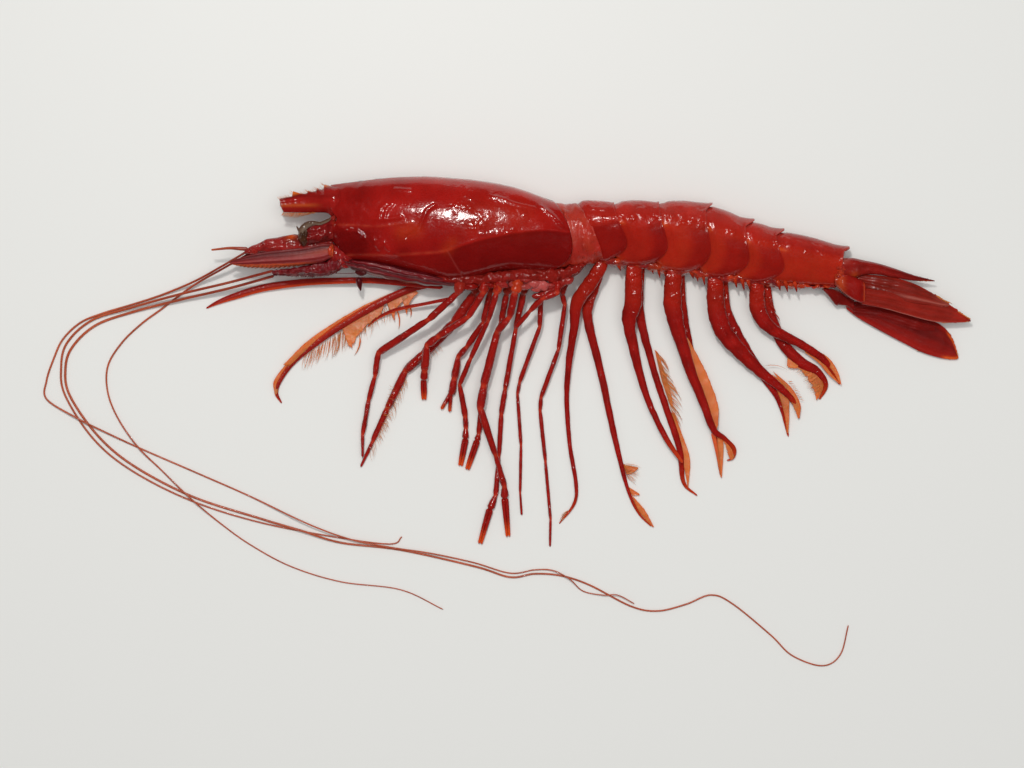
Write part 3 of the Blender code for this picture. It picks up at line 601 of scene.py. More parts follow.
RING_EDGES = (
    ((22.5, 10.2), (28.5, -7.8), -1.6, 15.0),
    ((34.0, 10.0), (33.4, -7.6), 4.2, 16.0),
    ((47.5, 10.2), (45.4, -9.3), 3.8, 15.6),
    ((61.5, 9.4), (58.6, -11.2), 3.2, 14.6),
    ((73.5, 4.4), (69.6, -12.8), 3.4, 13.2),
    ((82.5, 1.6), (80.6, -14.2), 3.6, 12.0),
    ((103.0, -3.6), (101.5, -15.2), 0.0, 9.6),
)
PLEURON_POWER = 2.0
RING_SQUARENESS = 0.7
SIDE_FALL = 0.3


def ring_form(t):
    """The shell ring edges blended along the tail: t counts rings from the front."""
    n = min(max(int(t), 0), len(RING_EDGES) - 2)
    f = t - n
    one, two = RING_EDGES[n], RING_EDGES[n + 1]
    back, belly = (Vector(a).lerp(Vector(b), f) for a, b in zip(one[:2], two[:2]))
    return back, belly, one[2] + (two[2] - one[2]) * f, one[3] + (two[3] - one[3]) * f


def ring_point(t, turn, size, hump):
    """A point on the tail's skin: edges lean from back to belly, and side lobes swing backwards."""
    back, belly, reach, width = ring_form(t)
    middle, half = (back.y + belly.y) / 2, (back.y - belly.y) / 2 * size
    lift = signed_power(math.cos(turn), ROUNDNESS)
    y = middle + hump / 2 + (half + hump / 2) * lift
    down = min(max((back.y - y) / (back.y - belly.y), 0), 1)
    side = signed_power(math.sin(turn), RING_SQUARENESS) * (1 - SIDE_FALL * step(0.22, 1, down))
    x = back.x + (belly.x - back.x) * down + reach * math.sin(math.pi * down**PLEURON_POWER)
    return Vector((x, y, width / 2 + width * size / 2 * side)), down


def neck_place(u, v):
    turn = 2 * math.pi * v
    lift, side = signed_power(math.cos(turn), ROUNDNESS), signed_power(math.sin(turn), ROUNDNESS)
    y = 0.9 + 8.4 * lift
    front = hind_margin(y) - 3.5
    back = 22.5 + 6 * (10.2 - y) / 18 + 2.5
    s = min(max((u - 0.05) / 0.9, 0), 1)
    x = front + (back - front) * s
    fold = 1.2 * rough(1.8 * x, 0.7 * y, side, 2.0) + 0.5 * math.sin(1.3 * x + 0.4 * y)
    swell = 6.6 + 0.5 * math.sin(math.pi * s) + 0.3 * fold
    shrink = min(u, 1 - u) / 0.05 if min(u, 1 - u) < 0.05 else 1
    drop = 1 + 0.32 * (1 - s) * (lift < 0)
    return Vector((x, 0.9 + (8.4 * drop + 0.4 * fold + 0.3 * math.sin(math.pi * s)) * lift * shrink,
                   max(8.4 + swell * side * shrink, 0.1)))


def neck_zones(u, v):
    point = neck_place(u, v)
    cloud = rough(point.x, point.y, point.z, 3.0, 6)
    pink = 0.5 * math.exp(-(((point.x - 20) / 1.6) ** 2 + ((point.y - 1.4) / 2.4) ** 2))
    wet = 0.8 * step(0.1, 0.5, rough(point.x, point.y, point.z, 2.0, 9))
    # the pale band along the top of the neck (y 5 to 9) is a painted sheen; the pink patch is the skin's own
    # colour
    pale = 0.04 + 0.14 * step(5, 9, point.y) + pink
    return 0.2 + 0.4 * step(1, -6, point.y) + 0.2 * cloud, pale, max(0.12 + 0.2 * cloud, 0), wet


skin_finish = wet_shell("soft_skin", linear(182, 44, 32), linear(160, 16, 11), linear(200, 104, 94),
                        linear(204, 76, 34), 0.3, 0.1, 0.34, 0.6, 0.26)
bm = new_skin()
wrap(bm, 60, 72, neck_place, neck_zones)
finish("neck_skin", bm, skin_finish, ["neck_membrane"])

# ---------------------------------------------------------------------------------------------------------
# The tail: six thin shell rings, each sliding under the one before, with a rounded lobe low on each side.
# From the third ring on, the back has a keel that ends in a spine.
# ---------------------------------------------------------------------------------------------------------

RING_KEEL = (0.0, 0.0, 0.7, 0.9, 0.9, 0.6)
RING_LOBE_FRONT = (0.02, 0.5, 0.42, 0.25, 0.2, 0.6)
SPINE_DEPTH = 0.11


def ring_skin(n, u, turn):
    """Front edge under the last ring, shell, hind lip and inner wall."""
    s = min(max((u - 0.05) / 0.87, 0), 1)
    t = n - 0.1 * (1 - step(0, 0.12, s)) * (n > 0) + s
    size = 0.915 + 0.085 * step(0.0, 0.22, s)
    hump = 0.55 * math.sin(math.pi * min(s * 1.1, 1)) ** 0.8 + 0.2 * step(0.7, 1, s) * (n > 1)
    point, down = ring_point(t, turn, size, hump if n < 5 else hump * 1.3)
    keel = max(math.cos(turn), 0) ** 36 * RING_KEEL[n]
    out = Vector((0, math.cos(turn), math.sin(turn)))
    crease = math.exp(-((down - 0.36 - 0.25 * (1 - s)) / 0.035) ** 2) * step(0.2, 0.5, s) * (n < 5)
    swell = 0.3 * math.sin(math.pi * min(max((down - 0.35) / 0.6, 0), 1)) * step(0.2, 0.6, s) * (n < 5)
    scuff = step(0.42, 0.2, down) * (0.09 * rough(point.x, point.y, point.z, 1.1, n) if n < 3 else 0)
    rim = 0.12 * step(0.95, 0.98, s)
    point += out * (0.5 * keel * step(0.1, 0.9, s) - 0.14 * crease * (n < 4) + swell + rim + scuff
                    + 0.07 * rough(point.x, point.y, point.z, 3.4, n) - 0.1)
    point.x += 2.9 * max(1 - down / SPINE_DEPTH, 0) ** 1.4 * RING_KEEL[n] * step(0.84, 1.0, s)
    if n < 5:
        point.y -= 1.2 * (math.sin(math.pi * s) - 0.5) * step(0.6, 1, down)
    if u > 0.92:
        tuck = (u - 0.92) / 0.08
        point -= out * step(0, 0.7, tuck) * (0.5 if n < 5 else 0.9)
        point.x -= 1.4 * step(0.3, 1, tuck)
    point.z = max(point.z, SHELL_CLEARANCE)
    return point, down, s


def close_up(point, u, centre):
    """Draws the two end rims in to a middle point, so that the skin is closed."""
    return centre if u <= 0 or u >= 1 else point


tail_finish = wet_shell("tail_shell", linear(176, 30, 20), linear(124, 12, 12), linear(196, 92, 82),
                        linear(206, 70, 26), 0.2, 0.14, 0.24, 0.4, 0.26)


def build_ring(n):
    back, belly, _, width = ring_form(n)
    front_middle = Vector((back.x + 1, (back.y + belly.y) / 2, width / 2))
    back, belly, _, width = ring_form(n + 0.999)
    hind_middle = Vector((back.x - 1, (back.y + belly.y) / 2, width / 2))

    def place(u, v):
        point, _, _ = ring_skin(n, u, 2 * math.pi * v)
        return close_up(point, u, front_middle if u < 0.5 else hind_middle)

    def zones(u, v):
        turn = 2 * math.pi * v
        point, down, s = ring_skin(n, u, turn)
        blur = 0.05 if n == 0 else 0.12
        lobe = step(0.4 - blur, 0.4 + blur, down + 0.12 * (s - 0.5)) * (n < 5)
        front = step(RING_LOBE_FRONT[n], RING_LOBE_FRONT[n] + 0.28, s)
        cloud = rough(point.x, point.y, point.z, 4, n + 2)
        deep = lobe * (0.25 + 0.4 * front) * (0.95 if n < 2 else 0.76)
        deep += 0.2 * step(0.05, 0.0, down) * (n > 1)
        deep += 0.12 * cloud + 0.12 * step(0.6, 0.95, s) + 0.1 * step(0.8, 1, down)
        if n == 5:
            deep = 0.15 + 0.35 * step(0.1, 0.0, down) + 0.35 * step(0.8, 1, down) + 0.1 * cloud
            deep += 0.2 * math.exp(-((down - 0.2) / 0.05) ** 2)
        # a painted sheen: a pale veil of reflection painted over the upper back of each ring
        painted_back_sheen = step(0.3, 0.05, down) * (0.08, 0.2, 0.28, 0.26, 0.22, 0.18)[n] * (1 + 0.6 * cloud)
        pale = painted_back_sheen + 0.2 * step(0.97, 1.0, s) * (1 - lobe)
        joint = math.exp(-(((down - 0.36) / 0.035) ** 2 + ((s - 0.06) / 0.07) ** 2)) * (n > 0)
        glow = (0.16 if n > 1 else 0.06) * (1 - 0.85 * lobe * front) * step(0.15, 0.4, down)
        amber = glow * (1 + 0.5 * cloud) + 0.9 * joint + 0.4 * step(0.9, 1.0, down) * step(0.3, 0.1, s)
        spray = step(-0.1, 0.35, rough(point.x, point.y, point.z, 2.4, n + 30))
        beads = spray * step(0.4, 0.32, down) * step(0.06, 0.12, down) * (1 if n < 4 else 0.7)
        beads += 0.8 * joint
        return min(max(deep, 0), 1), min(pale, 0.6), min(max(amber, 0), 0.95), min(beads, 1)

    bm = new_skin()
    wrap(bm, 90, 120, place, zones)
    finish(f"somite_{n + 1}_skin", bm, tail_finish, [f"somite_{n + 1}"])


for ring in range(6):
    build_ring(ring)

# ---------------------------------------------------------------------------------------------------------
# The soft parts underneath: wet flesh and the hip joints of the legs under the carapace, bundled mouth parts
# before them, and a strip of skin with thorns where the swimming legs grow.
# ---------------------------------------------------------------------------------------------------------

LEG_HIPS = ((-12.5, 12, 3.4, 0.25), (-7.5, 7, 3.6, 0.3), (-5, 12, 3.0, 0.3), (-1, 12.2, 2.8, 0.75),
            (2, 7, 2.6, 0.3),
            (4.5, 12.6, 3.2, 0.95), (7, 7, 2.4, 0.2), (12.3, 6, 2.2, 0.2), (18.5, 7, 2.2, 0.1))
FLESH_LUMPS = ((4.6, -14.8, 12.0, 2.0, 1.1, 1.2, 0.25), (7.0, -15.4, 12.2, 2.3, 1.1, 1.1, 0.3),
               (9.8, -14.4, 12.2, 2.3, 1.3, 1.0, 0.4), (12.2, -15, 11.8, 2.6, 1.6, 1.1, 0.5),
               (10.8, -16.2, 11.6, 1.6, 0.8, 0.9, 0.35), (14.6, -15.2, 11.0, 1.9, 1.0, 1.1, 0.15),
               (-3.6, -15, 12.0, 2.2, 0.9, 1.5, 0.0), (-9, -15.4, 12.0, 2.4, 1.0, 1.5, 0.0),
               (0.8, -15, 12.4, 1.8, 0.9, 1.4, 0.1), (17.4, -14.4, 10.4, 2.4, 1.3, 2.0, 0.0),
               (20, -13.4, 10.6, 2.0, 1.4, 1.8, 0.1), (7.6, -13.6, 13, 1.8, 0.7, 1.2, 0.1))
BELLY_THORNS = ((35.6, -9.8, 0.8), (45.4, -10.2, 1.4), (47.4, -10.8, 2.0), (49.2, -11.0, 1.6),
                (57.4, -12, 1.0),
                (58.8, -12.2, 1.8), (60.8, -12.8, 2.2), (70.4, -14.2, 1.6), (72.6, -14.6, 2.0),
                (74.4, -14.8, 1.8),
                (83.4, -15.2, 1.4), (85.6, -15.4, 1.6), (88.4, -15.6, 1.4))


def lump(bm, centre, size, seed, paint):
    """A soft rounded lump."""
    made = bmesh.ops.create_icosphere(bm, subdivisions=3, radius=1)["verts"]
    zones = bm.verts.layers.float_color["zones"]
    for vert in made:
        grown = 1 + 0.3 * rough(*vert.co, 0.9, seed) + 0.08 * rough(*vert.co, 0.35, seed)
        vert[zones] = (*paint, 0.6)
        x, y, z = (c + s * grown * part for c, s, part in zip(centre, size, vert.co))
        vert.co = Vector((x, y, max(z, LIMB_CLEARANCE))) * MM


def plain(deep, pale, amber):
    return lambda share, turn, joint: (deep, pale, amber)


def body(bm, stations, along, around, paint, shape=None, blunt=0.85):
    """A part that runs along the animal: stations of x, y, z, height and width, closed at both ends."""
    lines = [[(i, station[part]) for i, station in enumerate(stations)] for part in range(5)]
    last = len(stations) - 1

    def place(u, v):
        x, y, z, height, width = (eased(line, u * last) for line in lines)
        turn = 2 * math.pi * v
        lift, side = signed_power(math.cos(turn), blunt), signed_power(math.sin(turn), blunt)
        if u <= 0 or u >= 1:
            height = width = 0
        point = Vector((x, y + height / 2 * lift, z + width / 2 * side))
        if shape and 0 < u < 1:
            point += Vector(shape(u, lift, side))
        point.z = max(point.z, LIMB_CLEARANCE)
        return point

    def zones(u, v):
        return paint(u, math.cos(2 * math.pi * v), math.sin(2 * math.pi * v))

    wrap(bm, along, around, place, zones)


flesh_finish = wet_shell("flesh", linear(158, 24, 22), linear(104, 9, 11), linear(206, 112, 108),
                         linear(218, 74, 28), 0.34, 0.06, 0.2, 0.7, 0.28)
dark_finish = wet_shell("mouth_part", linear(126, 16, 22), linear(70, 6, 12), linear(158, 62, 72),
                        linear(180, 70, 30), 0.3, 0.1, 0.4, 0.9, 0.2)


def trunk_wobble(u, lift, side):
    x = 44 * u
    return (0.3 * rough(x, lift, side, 1.5, 1), 0.8 * rough(x, lift * 2, side * 2, 1.6, 2),
            0.6 * rough(x, lift * 2, side, 1.4))


def hip_paint(amber):
    def paint(share, turn, joint):
        # flank darkens the sides of each hip: painted shade
        flank = abs(math.cos(turn)) ** 3
        return 0.5 - 0.3 * amber + 0.3 * flank, 0.03, 0.5 * amber, 0.5
    return paint


def knobbly(point):
    coarse, fine = rough(*point, 1.3, 40), rough(*point, 0.6, 41)
    return 1 + 0.3 * coarse + 0.15 * fine


bm = new_skin()
body(bm, ((-20, -13.0, 9, 1.4, 7), (-12, -13.4, 9, 3.6, 8), (-3, -13.0, 9, 4.4, 9), (5, -12.2, 9, 5.0, 9.4),
          (13, -12.0, 9, 5.0, 9), (19, -11.6, 8.8, 4.6, 8), (23.6, -9.6, 8.4, 3.0, 7),
          (26, -8, 8, 1.4, 5)), 120, 36,
     lambda u, lift, side: (0.66 + 0.3 * rough(u * 44, lift, side, 2), 0.02, 0.06, 0.7), trunk_wobble)
for x, z, width, amber in LEG_HIPS:
    hip = ((x + 0.8, -12.8, z - 1.4, width * 1.1), (x + 0.8, -14.4, z - 0.6, width * 1.2),
           (x + 0.3, -16.2, z, width),
           (x - 0.1, -18, z - 0.3, width * 0.8))
    tube(bm, stops(hip, 8, False), 18, 0.9, hip_paint(amber), knobbly)
for n, (x, y, z, long, high, wide, pale) in enumerate(FLESH_LUMPS):
    lump(bm, (x, y, z), (long, high, wide), n, (0.4 * (1 - pale), pale, 0.04))
strand = ((20.4, -12.6, 11, 1.6), (18.6, -14.4, 11.4, 2.0), (15.8, -16.4, 11.2, 1.8),
          (12.6, -17.9, 11.4, 1.9),
          (9.4, -18.2, 11.6, 1.5))
tube(bm, stops(strand, 12, False), 16, 0.9, hip_paint(0.1), knobbly)
finish("thorax_flesh", bm, flesh_finish, ["thorax"])


def mouth_ribs(u, lift, side):
    x = 34 * u
    ribs = 0.3 * math.sin(lift * 9 + x * 0.12) + 0.3 * rough(x, lift, 0, 2)
    return 0, 0.3 * rough(x, lift * 2, 0, 2.4, 50), side * ribs


bm = new_skin()
body(bm, ((-46.5, -8.2, 9, 1.6, 7), (-42, -9.0, 9, 3.4, 8.4), (-36, -10.2, 9, 4.4, 9),
          (-28, -11.9, 9, 4.4, 9),
          (-20, -13.4, 9, 3.4, 8.4), (-12, -14.4, 9, 1.4, 6)), 100, 60,
     lambda u, lift, side: (0.5 + 0.4 * math.sin(lift * 9 + 4 * u),
                            0.06 + 0.1 * rough(u * 34, lift * 3, 0, 1.5), 0),
     mouth_ribs)
for n, (x, y, z, size) in enumerate(((-42.6, -9.4, 13.4, 1.9), (-41.4, -11, 12.4, 1.6),
                                     (-44, -8.2, 13.6, 1.4))):
    lump(bm, (x, y, z - 1.9), (size, size * 0.7, size * 0.5), n + 20, (0.95, 0.0, 0.02))
tube(bm, stops(((-42.2, -12.4, 9, 2.4), (-42, -14.6, 8.6, 1.7), (-41.6, -16.6, 8, 0.3)), 6, False), 10, 0.8,
     plain(0.9, 0, 0))
hair(bm, (-41, -11, 10), (-53.4, -10.8, 8), 0.16, 0.04, plain(0.6, 0, 0))
finish("mouth_parts", bm, dark_finish)


def belly_paint(u, lift, side):
    x = 76 * u
    return 0.5 + 0.5 * rough(x, lift, side, 2.4, 3), 0.06, 0.25 + 0.7 * rough(x, lift, side, 1.6, 4), 0.5


def thorn_paint(share, turn, joint):
    return 0.2 + 0.8 * share, 0, 0.6 * (1 - share)


def belly_wobble(u, lift, side):
    x = 76 * u
    return 0, 1.1 * rough(x, lift, side, 1.7, 8), 0.7 * rough(x, lift * 2, side * 2, 1.3)


bm = new_skin()
body(bm, ((24.6, -6.2, 6.4, 1.6, 7), (33, -7.4, 6.2, 3.4, 7.4), (44, -8.7, 6, 3.6, 7.4),
          (56, -10.3, 5.6, 3.6, 7),
          (68, -12.3, 5.2, 3.4, 6.6), (80, -13.9, 4.8, 2.4, 6), (92, -14.9, 4.2, 1.4, 5),
          (101, -15.0, 4.2, 1.0, 4.6)),
     190, 36, belly_paint, belly_wobble)
for x, y, long in BELLY_THORNS:
    thorn = ((x - 0.5, y + 2.0, 8, 1.5), (x, y + 0.6, 8, 1.1), (x + 0.5, y - long, 7.6, 0.2))
    tube(bm, stops(thorn, 6, False), 10, 0.6, thorn_paint)
finish("belly_skin", bm, flesh_finish)

# ---------------------------------------------------------------------------------------------------------
# The head: stalked eyes with a shrunken dark cornea, the three-jointed antennule bases between two stiff
# fringed scales, and under them the fuzzy bases of the long antennae.
# ---------------------------------------------------------------------------------------------------------

head_finish = wet_shell("head_part", linear(164, 28, 28), linear(92, 10, 12), linear(196, 104, 92),
                        linear(224, 88, 28), 0.26, 0.12, 0.22, 0.55, 0.3)
eye_finish = wet_shell("eye_dark", linear(58, 34, 26), linear(18, 10, 9), linear(150, 138, 122),
                       linear(120, 70, 40), 0.5, 0.2, 0.15, 0.8, 0.0)


def stalk_paint(u, lift, side):
    x = 10 * u
    # the lower side is darker as painted shade, towards the hollow under the stalk
    deep = 0.6 + 0.4 * rough(x, lift, side, 1.2) + 0.4 * step(-0.1, -0.9, lift)
    return deep, 0.02, 0.3 * step(0.2, 0, u), 0.8 * step(0, 0.4, rough(x, lift, side, 1.1, 7))


def stalk_folds(u, lift, side):
    x = 10 * u
    groove = 0.5 * math.exp(-((lift - 0.1) / 0.2) ** 2)
    return 0, 0.5 * rough(x, lift * 3, side * 3, 1.4), 0.6 * rough(x, lift * 3, side, 1.5) - groove


for name, z, far, visible in (("eyestalk_left", 12.9, 14.0, True), ("eyestalk_right", 6.3, 5.0, False)):
    bm = new_skin()
    body(bm, ((-48, 1.4, z - 2, 5, 4), (-50.4, 1.6, z - 0.6, 6.6, 4.6), (-53, 0.7, far - 0.8, 5.6, 4.4),
              (-56, 0.1, far - 0.4, 5.4, 4.0), (-58, -0.3, far - 0.2, 4.8, 3.4),
              (-59.4, -0.6, far - 0.4, 2.4, 2.2)), 70, 56,
         stalk_paint, stalk_folds)
    if visible:
        for n, (x, y, size) in enumerate(((-49.6, 4.8, 0.9), (-48.8, 2.6, 1.1), (-50.2, 3.2, 0.8),
                                          (-49.4, 0.6, 1.0))):
            lump(bm, (x, y, z - 0.1), (size, size * 1.2, size), n + 60, (0.6, 0.04, 0.06))
    finish(name + "_skin", bm, head_finish, [name])

for name, z, flip in (("eye_left", 14.5, 1), ("eye_right", 4.8, -1)):
    bm = new_skin()
    made = bmesh.ops.create_uvsphere(bm, u_segments=48, v_segments=32, radius=0.5)["verts"]
    zones = bm.verts.layers.float_color["zones"]
    for vert in made:
        x, y, up = vert.co.x, vert.co.y, vert.co.z
        dent = 1 + 0.16 * rough(x, y, up, 0.3, 2) + 0.07 * rough(x, y, up, 0.11, 3)
        worn = step(0.1, 0.5, y + 0.25 * rough(x, y, up, 0.2))
        vert[zones] = (0.5 + 0.8 * rough(x, y, up, 0.3, 5), worn, 0.2, 1)
        vert.co = Vector((-58.4 + 3.1 * x * dent, -0.5 + 5.6 * y * dent, z + 4.2 * up * dent)) * MM
    cap = ((-59.4, 0.2, z + 1.0 * flip, 1.4), (-58.6, 1.6, z + 1.3 * flip, 2.0),
           (-57.1, 2.9, z + 1.2 * flip, 1.9),
           (-55.2, 3.4, z + 1.0 * flip, 1.3), (-53.4, 3.3, z + 0.7 * flip, 1.0),
           (-51.2, 4.2, z + 0.2 * flip, 0.9),
           (-50.2, 4.9, z, 0.4))
    tube(bm, stops(cap, 8, False), 16, 0.8,
         lambda share, turn, joint: (0.5 * share, 0.5 - 0.4 * math.cos(turn) - 0.3 * share, 0.3, 0.5))
    if flip > 0:
        tube(bm, stops(((-59.2, 0.6, z, 1.2), (-59.9, 1.6, z, 0.7), (-60.5, 2.6, z, 0.2)), 5, False), 8,
             0.7,
             plain(0.4, 0, 0.5))
    finish(name + "_ball", bm, eye_finish, [name])

ANTENNULE_BASES = {"antennule_base_left": (11.4, 0.0), "antennule_base_right": (7.6, -0.6)}
for name, (z, drop) in ANTENNULE_BASES.items():
    bm = new_skin()

    def knuckles(u, lift, side):
        x = 26 * u
        swell = 0.3 * math.exp(-((x - 12.6) / 0.8) ** 2) - 0.3 * math.exp(-((x - 17.4) / 0.7) ** 2)
        swell -= 0.5 * math.exp(-((lift - 0.2) / 0.14) ** 2)
        wide = swell * side * 0.7 + 0.4 * rough(x, lift * 2, side, 1.5)
        return 0, 0.3 * swell * lift + 0.3 * rough(x, lift, side, 1.9), wide

    def stalk_shadow_paint(u, lift, side):
        x = 26 * u
        # dark: a painted shadow on the upper side under the eyestalk, with random mottling; the orange patch
        # is the part's own colour
        dark = 0.9 * math.exp(-(((x - 6) / 5) ** 2 + ((lift - 0.5) / 0.6) ** 2))
        dark += 0.3 * rough(x, lift, side, 2)
        orange = 0.8 * math.exp(-(((x - 10.6) / 1.3) ** 2 + ((lift - 0.8) / 0.4) ** 2))
        beads = 0.9 * step(0.05, 0.4, rough(x, lift * 2, side, 1.5, 8))
        return min(max(0.34 + dark, 0), 1), 0.08 + 0.1 * rough(x, lift, side, 1.2), orange, beads

    body(bm, ((-49.5, -3.2 + drop, z, 3, 3), (-54, -3.2 + drop, z, 4.4, 3.6),
              (-58, -2.9 + drop, z, 5.2, 3.8),
              (-61, -2.5 + drop, z, 5.2, 3.8), (-65, -2.9 + drop, z, 4.6, 3.6),
              (-69.4, -3.2 + drop, z, 4.2, 3.2),
              (-72.4, -4.0 + drop, z - 0.2, 2.9, 2.6), (-75.4, -4.8 + drop, z - 0.5, 1.6, 1.8),
              (-76.2, -4.9 + drop, z - 0.6, 1.2, 1.4)), 90, 40, stalk_shadow_paint, knuckles)
    lump(bm, (-73.4, -4.8 + drop, z), (1.5, 1.0, 1.1), 5, (0.3, 0.04, 0.05))
    finish(name + "_skin", bm, head_finish, [name])

SCALES = {"antennal_scale_left": 13.0, "antennal_scale_right": 6.0}
scale_finish = wet_shell("scale_plate", linear(150, 26, 26), linear(88, 10, 12), linear(184, 90, 80),
                         linear(224, 88, 28), 0.26, 0.12, 0.52, 0.4, 0.3)
for name, z in SCALES.items():
    bm = new_skin()

    def ribbed(u, lift, side):
        fine = 0.08 * math.sin(lift * 13 + 2 * u) + 0.2 * math.exp(-((lift + 0.25) / 0.1) ** 2) - 0.3 * lift
        return 0, 0.12 * rough(u * 30, lift, side, 1) * (lift < -0.6), side * fine

    def streaked(u, lift, side):
        amber = 0.75 * step(-0.66, -0.95, lift) * step(0.15, 0.4, u)
        amber += 0.3 * math.exp(-((lift - 0.1) / 0.2) ** 2) * step(0.5, 0, u) + 0.6 * step(0.06, 0.0, u)
        line = 0.12 * math.sin(lift * 13 + 2 * u)
        deep = 0.6 + 0.3 * math.exp(-((lift - 0.55) / 0.3) ** 2) + line
        # the lighter band here and the pale line along the ridge at lift -0.25 are a painted highlight
        deep -= 0.45 * math.exp(-((lift + 0.2) / 0.24) ** 2)
        return min(deep, 1), 0.16 * math.exp(-((lift + 0.25) / 0.1) ** 2), amber

    body(bm, ((-49.4, -4.6, z, 3.4, 1.6), (-53, -5.4, z, 5.6, 1.5), (-58, -6.2, z, 5, 1.3),
              (-64, -6.7, z, 4.6, 1.1),
              (-70, -7.1, z - 0.3, 4.0, 1), (-75, -7.6, z - 0.6, 3.0, 0.8), (-79, -8.1, z - 0.9, 1.5, 0.6),
              (-80.6, -8.3, z - 1, 0.3, 0.4)), 90, 44, streaked, ribbed)
    dice = random.Random(7)
    for n in range(90):
        x = -58 - 20 * n / 89
        edge = eased(((-80, -8.4), (-75, -8.7), (-70, -8.7), (-64, -8.7), (-56, -8.5)), x) + 0.5
        tuft = math.sin(math.pi * (n // 6 * 6) / 89) * (0.5 + 0.5 * math.cos(n * 1.05))
        long = 0.8 + tuft * dice.uniform(0.8, 1)
        hair(bm, (x, edge, z - 0.5), (x - long * 1.4, edge - long, z - 0.7), 0.26, 0.12,
             plain(0.05, 0.2, 0.75))
    finish(name + "_skin", bm, scale_finish, [name])

ANTENNA_BASES = {"antenna_base_left": (11.2, 0.0), "antenna_base_right": (7.2, -0.4)}


def fuzzy_paint(u, lift, side):
    x = 20 * u
    return 0.3 + 0.6 * rough(x, lift, side, 1.2), 0.06 + 0.3 * rough(x, lift, side, 0.8), 0, 0.4


def fuzzy_folds(u, lift, side):
    x = 20 * u
    return 0, 0.5 * rough(x, lift * 2, side, 1.0), 0.5 * rough(x, lift * 3, side, 0.8, 2)


for name, (z, drop) in ANTENNA_BASES.items():
    bm = new_skin()
    body(bm, ((-46, -7.6 + drop, z, 2.6, 3), (-49.4, -8.8 + drop, z, 3.8, 3.2),
              (-53, -9.8 + drop, z, 3.4, 3.4),
              (-58, -10.4 + drop, z, 2.5, 3.2), (-62.4, -10.8 + drop, z, 1.7, 2.6),
              (-66, -10.9 + drop, z - 0.2, 1.1, 1.6),
              (-68, -11.1 + drop, z - 0.4, 0.8, 1.0)), 90, 48, fuzzy_paint, fuzzy_folds)
    dice = random.Random(9)
    for n in range(150):
        x = -48.5 - 15 * dice.random()
        low = eased(((-63, -11.4), (-58, -11.6), (-53, -11.5), (-48, -10.4)), x) + drop
        hair(bm, (x, low + 0.4, z + dice.uniform(-1, 1)), (x - 0.5, low - dice.uniform(0.2, 0.7), z), 0.1,
             0.1,
             plain(0.8, 0, 0))
    finish(name + "_skin", bm, dark_finish, [name])


def cheek_paint(u, lift, side):
    x = 9 * u
    amber = 0.5 * step(0.3, 0.1, u) * step(0, 0.8, lift)
    beads = 0.9 * step(0.1, 0.4, rough(x, lift, side, 1.2, 4))
    return 0.3 + 0.4 * rough(x, lift, side, 1.4), 0.03, amber, beads


def cheek_folds(u, lift, side):
    x = 9 * u
    return 0, 0.5 * rough(x, lift * 2, side, 1.4), 0.6 * rough(x, lift * 2, side, 1.2)


bm = new_skin()
body(bm, ((-52, -4.2, 11.2, 2.2, 2), (-50.4, -5.0, 11.6, 4.8, 3.2), (-48, -6.2, 11.4, 6.2, 3.2),
          (-45.6, -7.4, 11, 4.8, 2.8),
          (-43.6, -8.5, 10.6, 1.6, 2)), 60, 48, cheek_paint, cheek_folds)
tube(bm, stops(((-50, -3.2, 13.6, 1.0), (-50.6, -4.6, 14, 1.2), (-50.4, -6.4, 13.8, 0.8)), 8, False), 12,
     0.8,
     plain(0.2, 0.04, 0.3), knobbly)
finish("cheek_plate", bm, head_finish)

# ---------------------------------------------------------------------------------------------------------
# The feeding lashes: three flat straps from beside the mouth with a thin amber web along their edges. The
# middle one's web is torn into points and loose hairs.
# ---------------------------------------------------------------------------------------------------------

LASHES = {
    "mouth_lash_long": (
        (-17, -15.4, 6.5, 1.4), (-28, -14.3, 5.5, 1.7), (-39, -13.3, 4, 1.8), (-50, -13.4, 2.8, 2),
        (-60, -13.9, 2, 2.2),
        (-71.4, -15.5, 1.2, 2.3), (-80, -18, 0.8, 2), (-85, -19.8, 0.7, 1.3), (-88.6, -21.6, 0.5, 0.4)),
    "mouth_lash_plumed": (
        (-21, -14.4, 3.4, 2), (-28, -16.2, 2.6, 2.2), (-37.5, -20.7, 2, 2.3), (-47, -26.2, 1.5, 2.2),
        (-56, -32.4, 1, 2), (-62.6, -38, 0.8, 1.8), (-66.4, -43.4, 0.8, 1.5), (-67.4, -47, 0.7, 1.2),
        (-65.8, -50.2, 0.5, 0.4)),
    "mouth_lash_short": (
        (-14, -18.6, 5.5, 1.1), (-22, -20.2, 4.2, 1), (-31, -22, 2.6, 1.1), (-36.6, -24.4, 1.3, 0.9),
        (-40, -27.2, 0.6, 0.3)),
}

limb_finish = wet_shell("limb_shell", linear(172, 26, 18), linear(100, 8, 9), linear(206, 100, 86),
                        linear(226, 84, 30), 0.2, 0.1, 0.24, 0.6, 0.3)


def strap_paint(edge):
    """Dark along one edge, amber along the other: edge is 1 for the lower one and -1 for the upper."""
    def paint(share, turn, joint):
        light = step(0.1, 0.8, edge * math.cos(turn))
        return 0.4 - 0.34 * light, 0.06, 0.6 * light * step(0.15, 0.5, share)
    return paint


web_finish = wet_shell("web", linear(226, 84, 34), linear(160, 30, 14), linear(244, 160, 104),
                       linear(246, 132, 62), 0.3, 0.0, 0.4, 0.4, 0.5)


def read(points, share):
    """A place on a smooth line through points, by share of its stations."""
    parts = [[(i, point[part]) for i, point in enumerate(points)] for part in range(len(points[0]))]
    return [eased(line, share * (len(points) - 1)) for line in parts]


